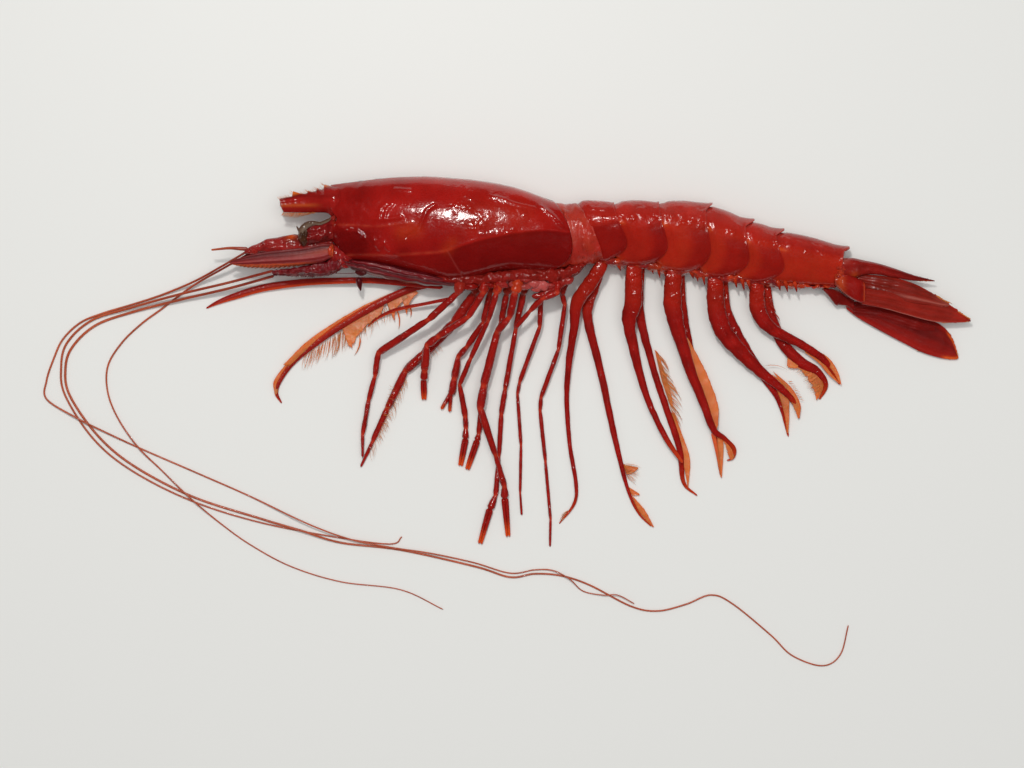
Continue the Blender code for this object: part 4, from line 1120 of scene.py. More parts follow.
def sheet(bm, inner, outer, height, ragged, seed, columns=60, rows=8):
    """A thin web from the limb's edge to its own free edge, frayed by the given share and wavy."""
    made = bmesh.ops.create_grid(bm, x_segments=columns, y_segments=rows, size=0.5)["verts"]
    zones = bm.verts.layers.float_color["zones"]
    faces = {face for vert in made for face in vert.link_faces}
    for vert in made:
        u, v = vert.co.x + 0.5, vert.co.y + 0.5
        (ax, ay), (bx, by) = read(inner, u), read(outer, u)
        fray = 1 - ragged * (0.5 + 0.5 * rough(u * columns, seed, 0, 1.6)) * step(0.02, 0.2, u)
        reach = v * fray
        x, y = ax + (bx - ax) * reach, ay + (by - ay) * reach
        ray = rough(u * columns, v * 0.6, 0, 1.1, seed)
        rim = step(0.86, 1, v) + step(0.5, 0.0, v)
        vert[zones] = (0.55 * rim + 0.8 * max(ray, 0), 0.8 * max(-ray, 0), 0.5 + 0.5 * ray, 0)
        vert.co = Vector((x, y, height + 0.2 * v * (1 + rough(x, y, 0, 2.2, seed)))) * MM
    bmesh.ops.solidify(bm, geom=list(faces), thickness=0.12 * MM)


def stray_paint(share, turn, joint):
    return 0.25 * (1 - share), 0.3 * share, 0.7


def fringe(bm, inner, outer, height, count, radius, seed):
    """Loose hairs from the limb's edge out to a line."""
    dice = random.Random(seed)
    for n in range(count):
        u = (n + dice.uniform(-0.3, 0.3)) / (count - 1)
        (ax, ay) = read(inner, min(max(u, 0), 1))
        (bx, by) = read(outer, min(max(u + dice.uniform(-0.03, 0.03), 0), 1))
        long = dice.uniform(0.72, 1.05)
        tip = (ax + (bx - ax) * long, ay + (by - ay) * long, height + dice.uniform(0, 0.3))
        hair(bm, (ax, ay, height), tip, radius, dice.uniform(-0.1, 0.14), stray_paint)


for name, stations in LASHES.items():
    bm = new_skin()
    tube(bm, stops(stations, 14, False), 14, 0.5, strap_paint(-1 if "plumed" in name else 1))
    finish(name + "_strap", bm, limb_finish, [name])

bm = new_skin()
sheet(bm, ((-32, -17.9), (-44, -24.2), (-56, -32.2), (-63.4, -39)), ((-33, -17), (-43.6, -22), (-57, -30.6),
      (-65.4, -38.6)), 1.4, 0.1, 1)
sheet(bm, ((-60, -36), (-66, -43), (-67, -47)), ((-61.6, -35), (-68, -43), (-67.8, -48)), 1.0, 0.1, 5, 30,
      5)
sheet(bm, ((-26, -15.8), (-28, -16.6), (-29.8, -17.6)), ((-24.6, -17), (-27, -20), (-28, -24)), 2.0, 0.15,
      2, 24, 10)
sheet(bm, ((-28.5, -17), (-31.6, -18.6), (-34, -20)), ((-27.6, -18.2), (-31.2, -22), (-31.6, -26)), 1.9,
      0.15, 3, 24, 10)
sheet(bm, ((-34.6, -20), (-40, -23.2), (-47.6, -27.6)), ((-36, -23.6), (-42, -29.6), (-44.6, -35.4)), 1.3,
      0.4, 4, 50, 12)
for tip_x, tip_y, root_x, root_y in ((-30.6, -28.2, -31.4, -21.6), (-27, -24.6, -27.6, -20),
                                     (-44, -36, -42.2, -29.6)):
    hair(bm, (root_x, root_y, 1.6), (tip_x, tip_y, 0.6), 0.42, 0.1)
fringe(bm, ((-38, -22), (-48, -28), (-58, -34.6)), ((-38.6, -28), (-49, -36), (-60, -41)), 0.9, 60, 0.13, 6)
fringe(bm, ((-30, -18), (-40, -23), (-50, -29)), ((-29, -23), (-40, -31), (-51, -37)), 0.9, 46, 0.12, 8)
finish("plumed_web", bm, web_finish)

# ---------------------------------------------------------------------------------------------------------
# The walking and grasping legs: hard jointed tubes with a paler soft ring at every joint. The first three
# pairs end in pincers, and one of the fourth pair is only a broken stump.
# ---------------------------------------------------------------------------------------------------------

LEG_ROOT_Y = -17.2
HIGH = 12.5
LOW = 6.0
JOINTED = {
    "maxilliped_left": ((-12.5, LEG_ROOT_Y, 12, 2), (
        (12, 222, 9.5, 2), (18, 213, 4.2, 2.1), (7, 261, 2.6, 1.5), (7.5, 255, 1.5, 1.5),
        (10.5, 260, 1.7, 1.3), (7, 270, 2.1, 0.6))),
    "maxilliped_right": ((-7.5, LEG_ROOT_Y, LOW, 2.8), (
        (11, 235, 4.2, 3.2), (13, 225, 2.4, 2.8), (7.5, 223, 1.6, 2.4), (12.5, 244, 1.1, 2),
        (11, 246, 1.1, 1.4), (8.5, 245, 0.6, 0.6))),
    "claw_leg_1_left": ((-5, LEG_ROOT_Y, HIGH, 2.2), (
        (8.5, 238, 10.6, 1.8), (10.5, 213, 7.6, 2.2), (4.5, 217, 6.6, 2.2), (7.5, 264, 4, 2.6),
        (3.3, 265, 2.4, 2), (5.7, 271, 1.1, 1.6))),
    "claw_leg_1_right": ((-3, LEG_ROOT_Y, LOW, 2), (
        (9, 257, 4.6, 1.8), (8.7, 236, 3, 1.8), (4, 228, 2.3, 1.8), (6.7, 260, 1.4, 2.4),
        (5.5, 259, 1.1, 2))),
    "claw_leg_2_left": ((-1, LEG_ROOT_Y, HIGH, 2), (
        (8.5, 253, 10.2, 1.5), (12.6, 245, 5.8, 1.5), (8.5, 247, 3.5, 1.5), (9.7, 280, 1.6, 1.9),
        (3.6, 272, 1.3, 1.6), (3.6, 268, 1.2, 2.2), (8, 259, 1, 1.6))),
    "claw_leg_2_right": ((2, LEG_ROOT_Y, LOW, 2), (
        (9, 259, 4.2, 1.8), (13.4, 254, 2.2, 1.8), (13.7, 260, 1.4, 1.8), (7, 265, 1.2, 1.5),
        (2.5, 256, 1.2, 2.2), (9, 251, 1, 1.6))),
    "claw_leg_3_left": ((4.5, LEG_ROOT_Y, HIGH, 2.5), (
        (7.5, 257, 10.4, 2), (5.5, 229, 8.2, 2.2), (16.7, 256, 4.9, 2.5), (7, 261, 4.2, 2.5),
        (14.8, 288, 3.3, 1.5), (9.7, 286, 2, 1.9), (4, 272, 1.4, 2.4), (11.4, 275, 1, 1.6))),
    "claw_leg_3_right": ((7, LEG_ROOT_Y, LOW, 2.2), (
        (11, 258, 4.3, 1.6), (18.3, 260, 1.7, 1.6), (7.6, 261, 1.2, 1.7), (12.6, 267, 0.8, 1.3),
        (12, 265, 1, 1.6), (4.8, 248, 1.2, 2.4), (10.6, 254, 1, 1.6))),
    "walking_leg_4_left": ((17, LEG_ROOT_Y, 12, 2.2), (
        (4.4, 200, 11.5, 2), (5.5, 225, 9.8, 1.5), (6.8, 229, 7.2, 1.3))),
    "walking_leg_4_right": ((12.3, LEG_ROOT_Y, LOW, 1.8), (
        (10, 268, 4.3, 1.4), (17.8, 250, 1.2, 1.3), (3.6, 260, 0.9, 1.1), (15.3, 274, 0.6, 1),
        (14.4, 269, 0.6, 0.8), (6.9, 274, 0.5, 0.6))),
    "walking_leg_5_right": ((18.5, LEG_ROOT_Y, LOW, 1.8), (
        (3.5, 286, 5.4, 1.5), (13.6, 262, 3.6, 1.4), (15.3, 250, 1.1, 1.4), (4, 266, 0.8, 1.2),
        (15.4, 276, 0.6, 1.1), (17.5, 275, 0.6, 0.9), (8.4, 269, 0.5, 0.6))),
}
FINGERS = {"claw_leg_1_right": ((6, 266, 1, 1.1), (6, 240, 1, 1.1))}


def walk(root, articles):
    """Stations of a limb, one at each joint."""
    x, y, _, _ = root
    stations = [root]
    for length, heading, z, width in articles:
        x += length * math.cos(math.radians(heading))
        y += length * math.sin(math.radians(heading))
        stations.append((x, y, z, width))
    return stations


def leg_paint(length, tip_amber):
    """Red articles with painted shade darkening their flanks, a paler ring at each joint with a painted
    highlight on its upper side, and an amber tip where there is one.
    """
    def paint(share, turn, joint):
        # flank darkens the sides of each article: painted shade
        flank = abs(math.cos(turn)) ** 3
        along = share * length
        cloud = rough(along, math.cos(turn), math.sin(turn), 3.0, length)
        deep = 0.28 + 0.4 * flank + 0.25 * cloud - 0.3 * joint
        amber = 0.22 * joint + tip_amber * step(0.45, 0.98, share)
        beads = 0.8 * step(0.15, 0.4, rough(along, math.cos(turn), math.sin(turn), 1.8, length + 3))
        # the pale share on the upper side of each joint is a painted highlight
        return max(deep, 0), 0.02 + 0.1 * joint * step(0.2, 0.9, math.sin(turn)), min(amber, 0.95), beads
    return paint


def limb_swell(point):
    coarse, fine = rough(*point, 2.6, 16), rough(*point, 0.9, 17)
    return 1 + 0.12 * coarse + 0.05 * fine


def fingers_of(stations):
    """The last article of a claw as two fingers, closed against each other."""
    (ax, ay, az, wide), (bx, by, bz, _) = stations[-2], stations[-1]
    ahead = Vector((bx - ax, by - ay, 0))
    long = ahead.length
    side = Vector((-ahead.y, ahead.x, 0)) / long
    pairs = []
    for hand in (-1, 1):
        root = Vector((ax, ay, az)) - ahead / long * 0.6 + side * hand * wide * 0.2
        middle = Vector((ax, ay, (az + bz) / 2)) + ahead * 0.5 + side * hand * 0.48
        tip = Vector((bx, by, bz)) + side * hand * 0.36
        pairs.append(((*root, wide * 0.56), (*middle, 0.98), (*tip, 0.75)))
    return pairs


for name, (root, articles) in JOINTED.items():
    stations = walk(root, articles)
    bm = new_skin()
    clawed = name.startswith("claw") and name not in FINGERS
    shown = stations[:-1] if clawed else stations
    x, y, z, width = root
    shown = [(x + 0.4, y + 3.4, z + 0.2, width * 0.8), *shown]
    total = sum(length for length, *_ in articles)
    tube(bm, stops(shown, 16), 18, 0.9, leg_paint(total, 0.0), limb_swell)
    if clawed:
        for pair in fingers_of(stations):
            tube(bm, stops(pair, 10, False), 12, 0.95, leg_paint(10, 0.85))
    for finger in FINGERS.get(name, ()):
        palm = stations[-1]
        knuckle = (palm[0], palm[1] + 1.2, palm[2], 1.3)
        tube(bm, stops(walk(knuckle, (finger,)), 12, False), 12, 0.95, leg_paint(6, 0.85))
    finish(name + "_leg", bm, limb_finish, [name])

bm = new_skin()
fringe(bm, ((-28.6, -41), (-31.6, -47), (-35.6, -56), (-39.2, -64)),
       ((-27.6, -46), (-30.4, -52), (-34, -60),
       (-38.6, -68)), 1.4, 40, 0.09, 21)
fringe(bm, ((-29.4, -43), (-33.4, -52), (-37, -60)), ((-27, -43.4), (-31.4, -53.4), (-35.4, -61.4)), 1.2,
       26, 0.09, 22)
fringe(bm, ((-18.4, -32.6), (-24, -37.6)), ((-16.8, -34.8), (-22.4, -39.6)), 2.0, 14, 0.08, 23)
fringe(bm, ((-33.4, -44.6), (-36, -57)), ((-30.6, -45.6), (-33.4, -57.6)), 2.2, 10, 0.08, 24)
finish("leg_bristles", bm, bristle_finish)

# ---------------------------------------------------------------------------------------------------------
# The swimming legs: a stout flattened base under each ring and one or two long finely ringed blades, edged
# with thin amber webs and hairs that have stuck together and torn.
# ---------------------------------------------------------------------------------------------------------

PLEOPODS = {
    "pleopod_1_left": ((30, -9.6, 8.6, 4), (
        (6, 236, 8, 4.3), (6.7, 238, 6.4, 3.9), (7.5, 263, 4.8, 2.6), (11.2, 262, 2.8, 2),
        (10.5, 267, 1.4, 1.5),
        (13.5, 274, 1, 1.3), (12, 279, 0.9, 1.2), (6, 264, 0.8, 0.9), (7.5, 233, 0.5, 0.4))),
    "pleopod_1_right": ((30, -10.5, 4.5, 3), (
        (10.5, 251, 3.4, 3.2), (5.4, 270, 2.9, 2.8), (16.4, 284, 1.6, 2.2), (18.4, 282, 1, 1.8),
        (16.4, 284, 0.8, 1.1), (8.2, 294, 0.6, 0.7), (5.7, 313, 0.5, 0.4))),
    "pleopod_2_left": ((40, -11, 8.4, 5), (
        (9.2, 269, 7.2, 5.4), (5.2, 257, 6.2, 4.2), (7.6, 279, 4.8, 3), (14, 285, 3.2, 2.1),
        (9.4, 292, 2.9, 1.8),
        (8.2, 298, 2.8, 1.6), (7.3, 305, 2.6, 0.8))),
    "pleopod_2_right": ((42, -11, 4.2, 3), (
        (12, 270, 2.8, 2.8), (17, 284, 1.4, 2), (12.9, 288, 1, 2), (12.9, 288, 0.8, 2), (10, 277, 0.7, 1.2),
        (5.9, 315, 0.5, 0.4))),
    "pleopod_3_left": ((52, -11.8, 8.0, 5), (
        (8.5, 268, 6.8, 5.4), (9, 282, 5.8, 4.2), (12, 288, 4.2, 3.2), (9.7, 292, 3.2, 2.6),
        (9, 291, 2.6, 2),
        (4.7, 320, 1.8, 1.4), (4, 312, 1.2, 1.3), (2.7, 264, 0.9, 0.9), (2, 207, 0.7, 0.4))),
    "pleopod_3_right": ((54, -12, 4, 3), (
        (11.5, 274, 2.3, 3.2), (13, 283, 1.4, 2.4), (15.6, 286, 1, 2.1), (8.8, 288, 0.8, 2),
        (13, 278, 0.5, 0.5))),
    "pleopod_4_left": ((64.5, -14.4, 7.2, 5), (
        (7.5, 272, 6.2, 5.4), (7.3, 289, 5.6, 5.2), (8.7, 311, 4.2, 4.4), (8.3, 316, 3, 3.2),
        (7.7, 321, 2.2, 2.2),
        (5.7, 313, 1.4, 1.6), (5, 287, 0.7, 0.6))),
    "pleopod_4_right": ((67, -14.8, 3.6, 3.2), (
        (8.6, 277, 2.4, 3.8), (10.9, 298, 1.6, 3.6), (11.2, 304, 1, 2.4), (8.9, 303, 0.8, 1.8),
        (11, 284, 0.5, 0.5))),
    "pleopod_5_left": ((77, -16, 6.4, 4.4), (
        (6.4, 274, 5.6, 4.8), (6.7, 306, 4.9, 3.8), (9.4, 333, 3.5, 2.5), (7.8, 328, 2.2, 2.3),
        (5.3, 313, 1.3, 1.9),
        (5.1, 298, 0.6, 0.6))),
    "pleopod_5_right": ((80, -16.4, 3.2, 3), (
        (7.6, 281, 2.2, 3.3), (8.9, 294, 1.6, 3.4), (7.7, 312, 1.2, 3.4), (6.2, 331, 1, 2.4),
        (4.8, 300, 0.8, 1.6),
        (4.6, 247, 0.5, 0.5))),
}


def blade_paint(share, turn, joint):
    """Bright on the stout base, streaked along the blade, with painted shade darkening the flanks, amber
    where it thins out.
    """
    across = math.cos(turn)
    # flank darkens the sides of the blade: painted shade
    flank = abs(across) ** 4
    base = step(0.26, 0.16, share)
    cloud = rough(share * 50, across * 1.5, math.sin(turn), 2.4, 3)
    streak = rough(share * 9, across * 3, 0, 0.7, 12)
    deep = 0.36 - 0.16 * base + 0.4 * flank + 0.25 * cloud + 0.25 * streak * (1 - base)
    spray = rough(share * 60, across * 2, math.sin(turn), 1.6, 14)
    beads = 0.8 * step(0.15, 0.4, spray) * (0.4 + 0.6 * base)
    return min(max(deep, 0), 1), 0.02, 0.06 * base + 0.45 * step(0.82, 1, share), beads


blade_finish = wet_shell("swimming_leg", linear(172, 22, 16), linear(98, 8, 9), linear(206, 96, 80),
                         linear(226, 84, 28), 0.24, 0.08, 0.22, 0.55, 0.26)
for name, (root, articles) in PLEOPODS.items():
    bm = new_skin()
    x, y, z, width = root
    hip = (x + 0.6, y + 3.2, z - 0.6, width * 0.9)
    tube(bm, stops([hip, *walk(root, articles)], 16, False), 22, 0.5, blade_paint, limb_swell)
    finish(name + "_blade", bm, blade_finish, [name])

bm = new_skin()
sheet(bm, ((55.2, -31), (58.8, -41.3), (63.2, -53.9), (65.1, -58.4)),
      ((56.4, -30.5), (59.4, -35.5), (62.4, -41.3),
      (65.6, -50.1), (65.6, -56.6)), 2.6, 0.12, 31)
sheet(bm, ((51.6, -53), (53.1, -59), (55.6, -70.4), (56.6, -76.1)),
      ((52.6, -53), (54.6, -58.6), (57.3, -66.6),
      (57, -73), (56.6, -76)), 0.9, 0.12, 32)
fringe(bm, ((46.4, -34), (48.6, -43), (51.6, -52.6)), ((51, -41), (54.6, -48.6), (55, -59)), 1.2, 44,
       0.16, 33)
sheet(bm, ((46.6, -34), (48.6, -43), (51, -50)), ((47.6, -35), (51, -44), (52.6, -52)), 1.1, 0.35, 34, 40,
      6)
sheet(bm, ((36.8, -68), (37.4, -69.6), (38, -71.6)), ((38, -69.4), (42.4, -69.6), (39.6, -71.6)), 0.9,
      0.3, 35, 20, 6)
fringe(bm, ((37, -68.6), (38, -72.4)), ((42.6, -69.6), (41.8, -75.6)), 0.9, 12, 0.12, 36)
sheet(bm, ((38.4, -75), (39, -76.6), (39.8, -78)), ((39, -75.6), (42.6, -77.8), (40.6, -78)), 0.8, 0.3,
      37, 20, 6)
sheet(bm, ((39.6, -78), (42, -83), (46, -87.6)), ((40.2, -78.4), (43.8, -82.4), (46.4, -87.4)), 0.7, 0.15,
      38, 30, 5)
fringe(bm, ((20.6, -82.4), (19.8, -84)), ((18.4, -83.6), (17.6, -86.4)), 0.6, 14, 0.14, 39)
finish("forward_webs", bm, web_finish)

bm = new_skin()
split = ((64, -58.8, 1.6, 1.4), (65, -63, 1.1, 1.2), (66, -68, 0.8, 1), (66.7, -72.8, 0.5, 0.4))
tube(bm, stops(split, 8, False), 12, 0.5, lambda share, turn, joint: (0.3, 0.05, 0.5 * share))
sheet(bm, ((64.8, -59.6), (65.6, -64), (66.6, -72.4)), ((66.4, -59.6), (67.4, -63), (66.8, -72.6)), 1.1,
      0.1, 41, 30, 6)
sheet(bm, ((66.4, -59.4), (69.4, -61.6), (70.8, -65), (70.2, -67)),
      ((66.8, -60.8), (67.6, -63), (68.2, -65.6),
      (69.4, -67.4)), 1.2, 0.3, 42, 30, 8)
sheet(bm, ((80.4, -41.4), (83.6, -47), (85.6, -53.6), (86.4, -59)), ((82, -41.6), (86.6, -45), (87.2, -52),
      (86.8, -59.4)), 1.3, 0.15, 43)
sheet(bm, ((82, -40.4), (87.6, -45.4), (90.4, -50.4), (90.2, -54.6)),
      ((83.6, -42.6), (86.6, -48), (88, -51.6),
      (89.6, -54.8)), 1.6, 0.3, 44, 40, 8)
fringe(bm, ((86.6, -43.6), (90.2, -49)), ((88.6, -43.4), (91.8, -49.6)), 1.8, 12, 0.12, 45)
hair(bm, (79.4, -39, 2.4), (86.8, -40.4, 2), 0.14)
sheet(bm, ((91, -33), (96.4, -36.4), (100, -40.4), (102.2, -44.2)),
      ((92.6, -32.9), (98.6, -36.2), (101.6, -40.4),
      (102.8, -44.8)), 2.0, 0.1, 46, 40, 5)
sheet(bm, ((92, -34), (96.4, -37), (99.6, -41), (102, -44)), ((91.6, -34.8), (95.6, -38), (99, -41.8),
      (102.4, -44.6)), 2.0, 0.1, 50, 40, 5)
sheet(bm, ((89, -36.5), (94.6, -40.4), (97.4, -44.6), (96, -48.6)),
      ((88.6, -38.6), (91.6, -42.4), (93.6, -45.6),
      (95, -49.4)), 1.2, 0.35, 47)
sheet(bm, ((86.4, -33.4), (88, -36), (90.6, -38)), ((86.6, -36), (86.4, -39.6), (89, -40)), 1.6, 0.25, 48,
      24, 8)
fringe(bm, ((90, -37), (95, -41.4), (97, -46)), ((87.6, -39.6), (91, -43.6), (94, -48)), 1.3, 30, 0.12, 49)
thorns = ((82.6, -22), (83.8, -24.6), (81.2, -19.6), (80.6, -17.8))
for n, (x, y) in enumerate(thorns):
    hair(bm, (x - 2, y + 1.6, 4), (x + 0.4, y - 1, 3.4), 0.4, 0.1, plain(0.95, 0, 0))
finish("hind_webs", bm, web_finish)

# ---------------------------------------------------------------------------------------------------------
# The tail fan: a pointed keeled telson over two pairs of thin ribbed blades hinged on short stout bases. The
# upper inner blade is torn at its tip, and the lower outer blade keeps its amber fringe.
# ---------------------------------------------------------------------------------------------------------

TAIL_FAN = {
    "telson": (
        (101.4, -9.4, 6.4, 5.2, 5.4), (105.6, -9.7, 6.4, 6.2, 5), (109, -9.5, 6.4, 4.4, 4.2),
        (113, -9.9, 6.4, 3.5, 3.2),
        (118, -11.1, 6.2, 2.9, 2.4), (123.5, -12.5, 5.8, 1.9, 1.4), (127.5, -13.1, 5.4, 1.0, 0.9),
        (130.5, -13.5, 5.2, 0.25, 0.5)),
    "uropod_base_left": (
        (100, -12.8, 7.0, 3.4, 4), (102.6, -14.2, 7.6, 5.6, 3.8), (105, -15.4, 8, 6.8, 3.2),
        (107.4, -16.4, 8, 7.0, 2.4),
        (108.8, -16.9, 7.6, 6.0, 1.4), (109.6, -17.4, 7.2, 3.8, 0.8)),
    "uropod_base_right": (
        (96.6, -15.6, 4.6, 0.8, 2), (98.8, -17.0, 4.2, 2.6, 2.4), (100.8, -18.4, 3.6, 4.6, 2.2),
        (102.2, -18.6, 3.2, 4.2, 2),
        (104.4, -19.4, 2.6, 3.4, 1.8), (106.6, -21.0, 2.2, 3.6, 1.6)),
    "uropod_inner_left": (
        (106.8, -13.6, 5.6, 4.6, 1), (113, -14.8, 6.0, 6.0, 1), (119, -16.0, 6.2, 6.6, 1),
        (124.5, -17.4, 6.2, 5.8, 1),
        (129, -18.8, 5.9, 4.0, 0.8), (132.5, -20.0, 5.6, 2.2, 0.6), (134.8, -20.6, 5.4, 0.9, 0.5)),
    "uropod_outer_left": (
        (107.8, -18, 7, 4.8, 1.4), (115.5, -19.2, 6.6, 5.4, 1.2), (121, -20.4, 6, 6.0, 1.1),
        (129, -22.2, 5.4, 6.6, 1),
        (134.3, -23.2, 5, 5.6, 0.8), (138.6, -24.5, 4.8, 2.8, 0.6), (141.4, -25.5, 4.6, 0.3, 0.4)),
    "uropod_inner_right": (
        (106, -22, 1.9, 3, 0.9), (115, -22.6, 1.9, 5, 0.8), (125, -25.6, 1.8, 5, 0.8),
        (131, -27.6, 1.7, 1.6, 0.6)),
    "uropod_outer_right": (
        (104, -20.8, 1.6, 1.8, 1), (108.2, -22.2, 1.5, 5.2, 1.2), (114.5, -24.6, 1.4, 7.6, 1.2),
        (121.7, -27.6, 1.3, 9.2, 1.1), (127.4, -29.8, 1.2, 10.4, 1.1), (132.3, -31.4, 1.1, 10.2, 1),
        (135.6, -33.2, 1, 7.6, 0.9),
        (137.2, -34.9, 0.9, 4.2, 0.8), (138.1, -36.5, 0.8, 0.5, 0.5)),
}
FAN_FRAY = {"uropod_inner_left": 0.6, "uropod_outer_left": 0.35, "uropod_outer_right": 0.3, "telson": 0.15}

fan_finish = wet_shell("tail_fan", linear(158, 24, 17), linear(92, 8, 8), linear(200, 110, 98),
                       linear(222, 92, 32), 0.22, 0.12, 0.24, 0.45, 0.22)


def build_fan_part(name, stations):
    broad = "uropod_inner" in name or "uropod_outer" in name
    fray = FAN_FRAY.get(name, 0)
    long = stations[-1][0] - stations[0][0]

    def shape(u, lift, side):
        x = long * u
        edge = abs(lift) > 0.85
        notch = fray * rough(x * 1.6, lift * 2, 0, 0.9, 4) * step(0.62, 0.8, u) * edge
        if broad:
            ribs = 0.09 * math.sin(lift * 11 + 2 * u) + 0.3 * math.exp(-((lift - 0.1 + 0.5 * u) / 0.09) ** 2)
            rim = 0.22 * step(-0.78, -0.95, lift)
            return 0.6 * notch, notch, side * (ribs + rim + 0.1 * rough(x, lift * 3, 0, 2))
        ridge = 0.35 * math.exp(-((lift - 0.55) / 0.14) ** 2) - 0.35 * math.exp(-((lift + 0.05) / 0.2) ** 2)
        return 0, notch, side * (ridge * (name == "telson")) + 0.22 * rough(x, lift * 3, side * 3, 1.8)

    heights = [(i, station[3]) for i, station in enumerate(stations)]

    def paint(u, lift, side):
        x = long * u
        half = eased(heights, u * (len(stations) - 1)) / 2
        cloud = rough(x, lift * 4, side, 3.4, 2)
        if name == "uropod_outer_right":
            band = math.exp(-(((1 - lift) * half - 0.9) / 0.55) ** 2) * step(0.68, 0.74, u)
            band = max(band, math.exp(-(((1 + lift) * half - 0.3) / 0.5) ** 2) * step(0.62, 0.7, u))
            deep = 0.5 + 0.45 * math.exp(-((lift - 0.35) / 0.4) ** 2) * step(0.9, 0.4, u) + 0.2 * cloud
            deep -= 0.4 * step(-0.3, -0.6, lift) - 0.12 * math.sin(lift * 11 + 2 * u)
            return min(max(deep - 0.5 * band, 0), 1), 0.02, 0.95 * band
        if name == "uropod_inner_left":
            streak = 0.5 * math.exp(-((lift + 0.5) / 0.14) ** 2) * step(0.25, 0.45, u)
            ribbed = 0.15 * math.sin(lift * 11 + 2 * u)
            return min(0.7 + 0.2 * cloud + ribbed, 1), 0.04 + 0.3 * step(0.6, 1, u) + streak, 0.04
        if name == "uropod_outer_left":
            deep = 0.42 + 0.2 * cloud + 0.12 * math.sin(lift * 11 + 2 * u)
            deep -= 0.4 * math.exp(-((u - 0.84) / 0.1) ** 2)
            glint = 0.8 * step(-0.9, -0.98, lift) * step(0.1, 0.2, u) * step(0.8, 0.6, u)
            amber = 0.4 * step(-0.8, -1, lift) * step(0.7, 0.95, u) + 0.04
            return max(deep, 0), min(glint + 0.04, 1), amber
        if name == "telson":
            low_edge = step(0, -0.9, lift)
            pale = 0.5 * step(0.16, 0.02, u) * step(0, 0.9, lift)
            amber = (0.4 * math.exp(-((u - 0.16) / 0.05) ** 2) + 0.6 * step(0.75, 0.9, u)) * low_edge
            return min(0.4 + 0.35 * step(0.3, 0.9, u) + 0.3 * cloud, 1), pale + 0.03, amber
        if name == "uropod_base_left":
            joint = math.exp(-((u - 0.84) / 0.05) ** 2) + math.exp(-((u - 0.12) / 0.12) ** 2)
            beads = 0.9 * step(0.3, 0.1, u)
            return max(0.3 + 0.3 * cloud - 0.2 * joint, 0), 0.06 * joint, 0.4 * joint, beads
        return 0.7 + 0.2 * cloud, 0.02, 0.0

    bm = new_skin()
    body(bm, stations, 96, 48 if broad else 32, paint, shape, 1.0 if broad else 0.85)
    finish(name + "_skin", bm, fan_finish, [name])


for fan_name, fan_stations in TAIL_FAN.items():
    build_fan_part(fan_name, fan_stations)

bm = new_skin()
dice = random.Random(17)
for (ax, ay), (bx, by), z, count, long in (
        ((129.2, -27), (137.6, -35.4), 1.2, 60, 0.7), ((126, -34.6), (137.4, -37), 1.0, 50, 0.5),
        ((127, -16.4), (134.2, -20.2), 5.8, 16, 1.9), ((135.4, -21.6), (141, -25), 5, 20, 0.7),
        ((133, -26.2), (140.6, -25.8), 4.8, 26, 0.4), ((120.6, -12.4), (126.4, -13.6), 5.8, 20, 0.6)):
    for n in range(count):
        s = n / (count - 1)
        x, y = ax + (bx - ax) * s, ay + (by - ay) * s
        reach = long * dice.uniform(0.5, 1.1)
        hair(bm, (x - 0.6, y + 0.2, z), (min(x + reach, 141.4), y - reach * 0.25, z - 0.1), 0.2)
finish("tail_fringe", bm, bristle_finish)

bm = new_skin()
for n in range(26):
    x, y = 101 + 0.07 * n + dice.uniform(-0.7, 1.3), -9.4 - 0.24 * n + dice.uniform(-0.8, 0.8)
    amber = 0.7 * dice.random()
    size = (dice.uniform(0.5, 1.1), dice.uniform(0.4, 0.8), 0.6)
    lump(bm, (x, y, 9.0 - 0.03 * n), size, n, (0.4 * (1 - amber), 0.05, amber))
finish("tail_hinge", bm, flesh_finish)

# ---------------------------------------------------------------------------------------------------------
# The threads: the long lashes of both antennae and both antennules, hollow strings of hundreds of tiny rings
# that lie on the board in loose bends and cross one another.
# ---------------------------------------------------------------------------------------------------------

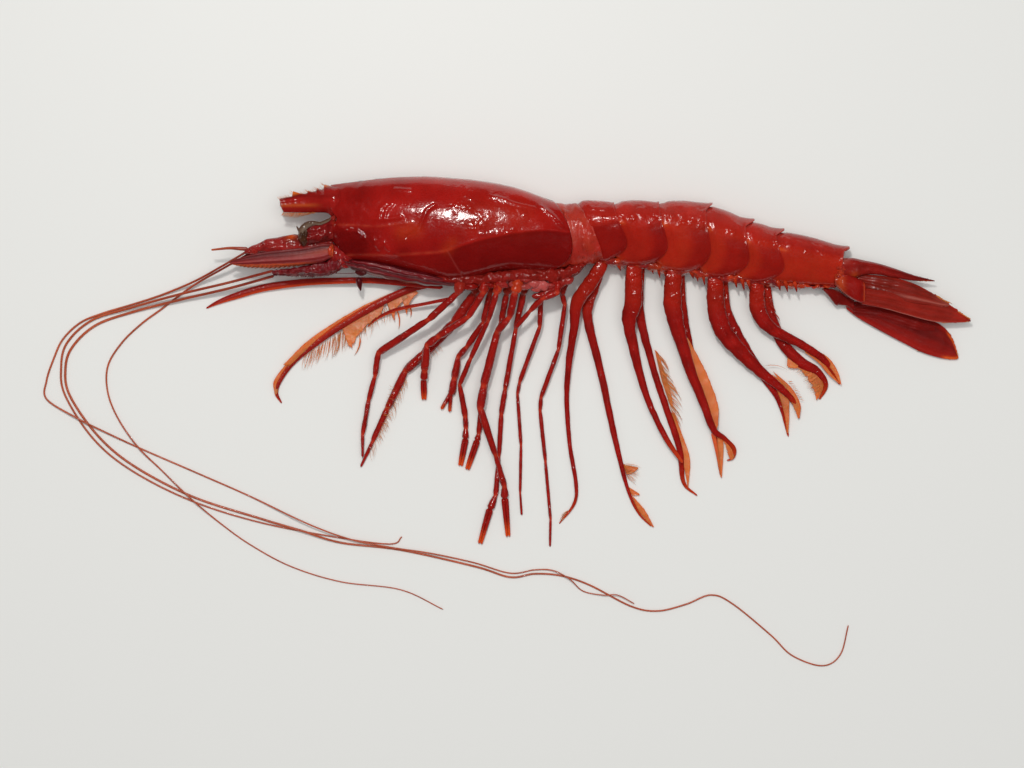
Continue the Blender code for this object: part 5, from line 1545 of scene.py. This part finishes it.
THREADS = {
    "antenna_left": (0.43, (
        (-67.5, -10.6, 11), (-81, -14, 7.4), (-96, -17.4, 3.8), (-111, -21.4, 1.6), (-123, -25.2, 0.6),
        (-130.5, -32, 0.4), (-132.3, -39.5, 0.4), (-131, -48, 0.4), (-122.5, -61, 0.4), (-111, -70.5, 0.4),
        (-93, -79.6, 0.4), (-72, -86.2, 0.4), (-48, -90.8, 0.4), (-33, -92.6, 0.4), (-29.5, -90.4, 0.4))),
    "antenna_right": (0.43, (
        (-67.5, -12, 7.2), (-81, -15.6, 4.4), (-96, -19, 2), (-111, -22.8, 0.6), (-122, -26.8, 0.4),
        (-129, -33.4, 0.4), (-131, -40, 0.4), (-129.6, -48, 0.4), (-121.2, -60, 0.4), (-110.2, -69.2, 0.4),
        (-92.5, -78.4, 0.4), (-72, -85, 0.6), (-60, -88.5, 1.4), (-48, -92.2, 0.5), (-30, -94.4, 0.4),
        (-7.5, -99.4, 0.4), (3, -102.6, 0.4), (10.5, -101.6, 0.4), (18.5, -102.2, 0.4), (27, -105, 0.4),
        (39.5, -111.4, 0.4), (47.5, -112.8, 0.4), (56, -110.8, 0.4), (63.5, -108, 0.4), (70, -110.6, 0.4),
        (81.5, -120, 0.4), (88, -126.2, 0.4), (97, -129.3, 0.4), (102.5, -126, 0.4), (105, -117, 0.4))),
    "antennule_left": (0.35, (
        (-75, -4.6, 10.8), (-83, -9, 7.2), (-92, -13.6, 3), (-102, -17.6, 0.7), (-111, -20.5, 0.4),
        (-120, -23.2, 0.4), (-126.6, -26, 0.4), (-131.8, -31, 0.4), (-134.6, -37, 0.4),
        (-136.7, -43.5, 0.4),
        (-136.6, -49, 0.5), (-127.5, -54.6, 1.4), (-120, -58.4, 1), (-108, -64, 0.4), (-90, -71.8, 0.4),
        (-75, -78.4, 0.5), (-58, -86.4, 2.2), (-45, -91.2, 1.4), (-33, -93.6, 1.3), (-21, -95.4, 0.8),
        (-8, -98.2, 0.5), (3, -101.4, 0.4), (10.5, -100.4, 0.4), (16, -100.6, 0.9), (21, -103.2, 1.4),
        (25, -106.8, 0.4), (31, -108, 0.9), (35.5, -108, 1.2), (40.5, -110.6, 0.8))),
    "antennule_right": (0.35, (
        (-75, -5.4, 8), (-83, -9.8, 6.2), (-91, -14, 2.4), (-97, -18, 0.4), (-102, -21.8, 0.4),
        (-108, -26.2, 0.4),
        (-114, -32, 0.4), (-118.2, -39, 0.4), (-118.2, -47, 0.4), (-115, -55, 0.5), (-109, -63.4, 1.3),
        (-102, -70.4, 0.6), (-93, -79, 1.4), (-84, -86.6, 0.5), (-75, -93, 0.4), (-63, -99.4, 0.4),
        (-48, -104, 0.4), (-30, -106.4, 0.4), (-17, -112.4, 0.4))),
    "antennule_short_left": (0.66, ((-75, -4.2, 11), (-78, -4.0, 11.2), (-81, -3.9, 11),
                                    (-86.2, -4.4, 10.4))),
}
THREAD_TIP = 0.45

thread_finish = wet_shell("thread_rings", linear(178, 68, 38), linear(112, 30, 26), linear(196, 138, 112),
                          linear(198, 92, 42), 0.3, 0.0, 0.35, 0.4, 0.2)


def thread_paint(length):
    """Red where it leaves the head, then amber brown, with darker rings."""
    def paint(share, turn, joint):
        along = share * length
        ring = 0.5 + 0.5 * math.sin(along * 4.4)
        cloud = rough(along, 0, length, 9.0)
        red = step(0.6, 0.0, along / 90)
        pale = 0.12 * (1 - red) + 0.2 * max(-cloud, 0)
        return 0.4 * red + 0.2 + 0.3 * cloud + 0.18 * ring, pale, 0.4 * (1 - red)
    return paint


for name, (radius, path) in THREADS.items():
    last = len(path) - 1
    stations = [(*point, 2 * radius * (1 - (1 - THREAD_TIP) * n / last)) for n, point in enumerate(path)]
    bm = new_skin()
    tube(bm, stops(stations, 24, False), 8, 1, thread_paint(len(path) * 12))
    finish(name + "_string", bm, thread_finish, [name])
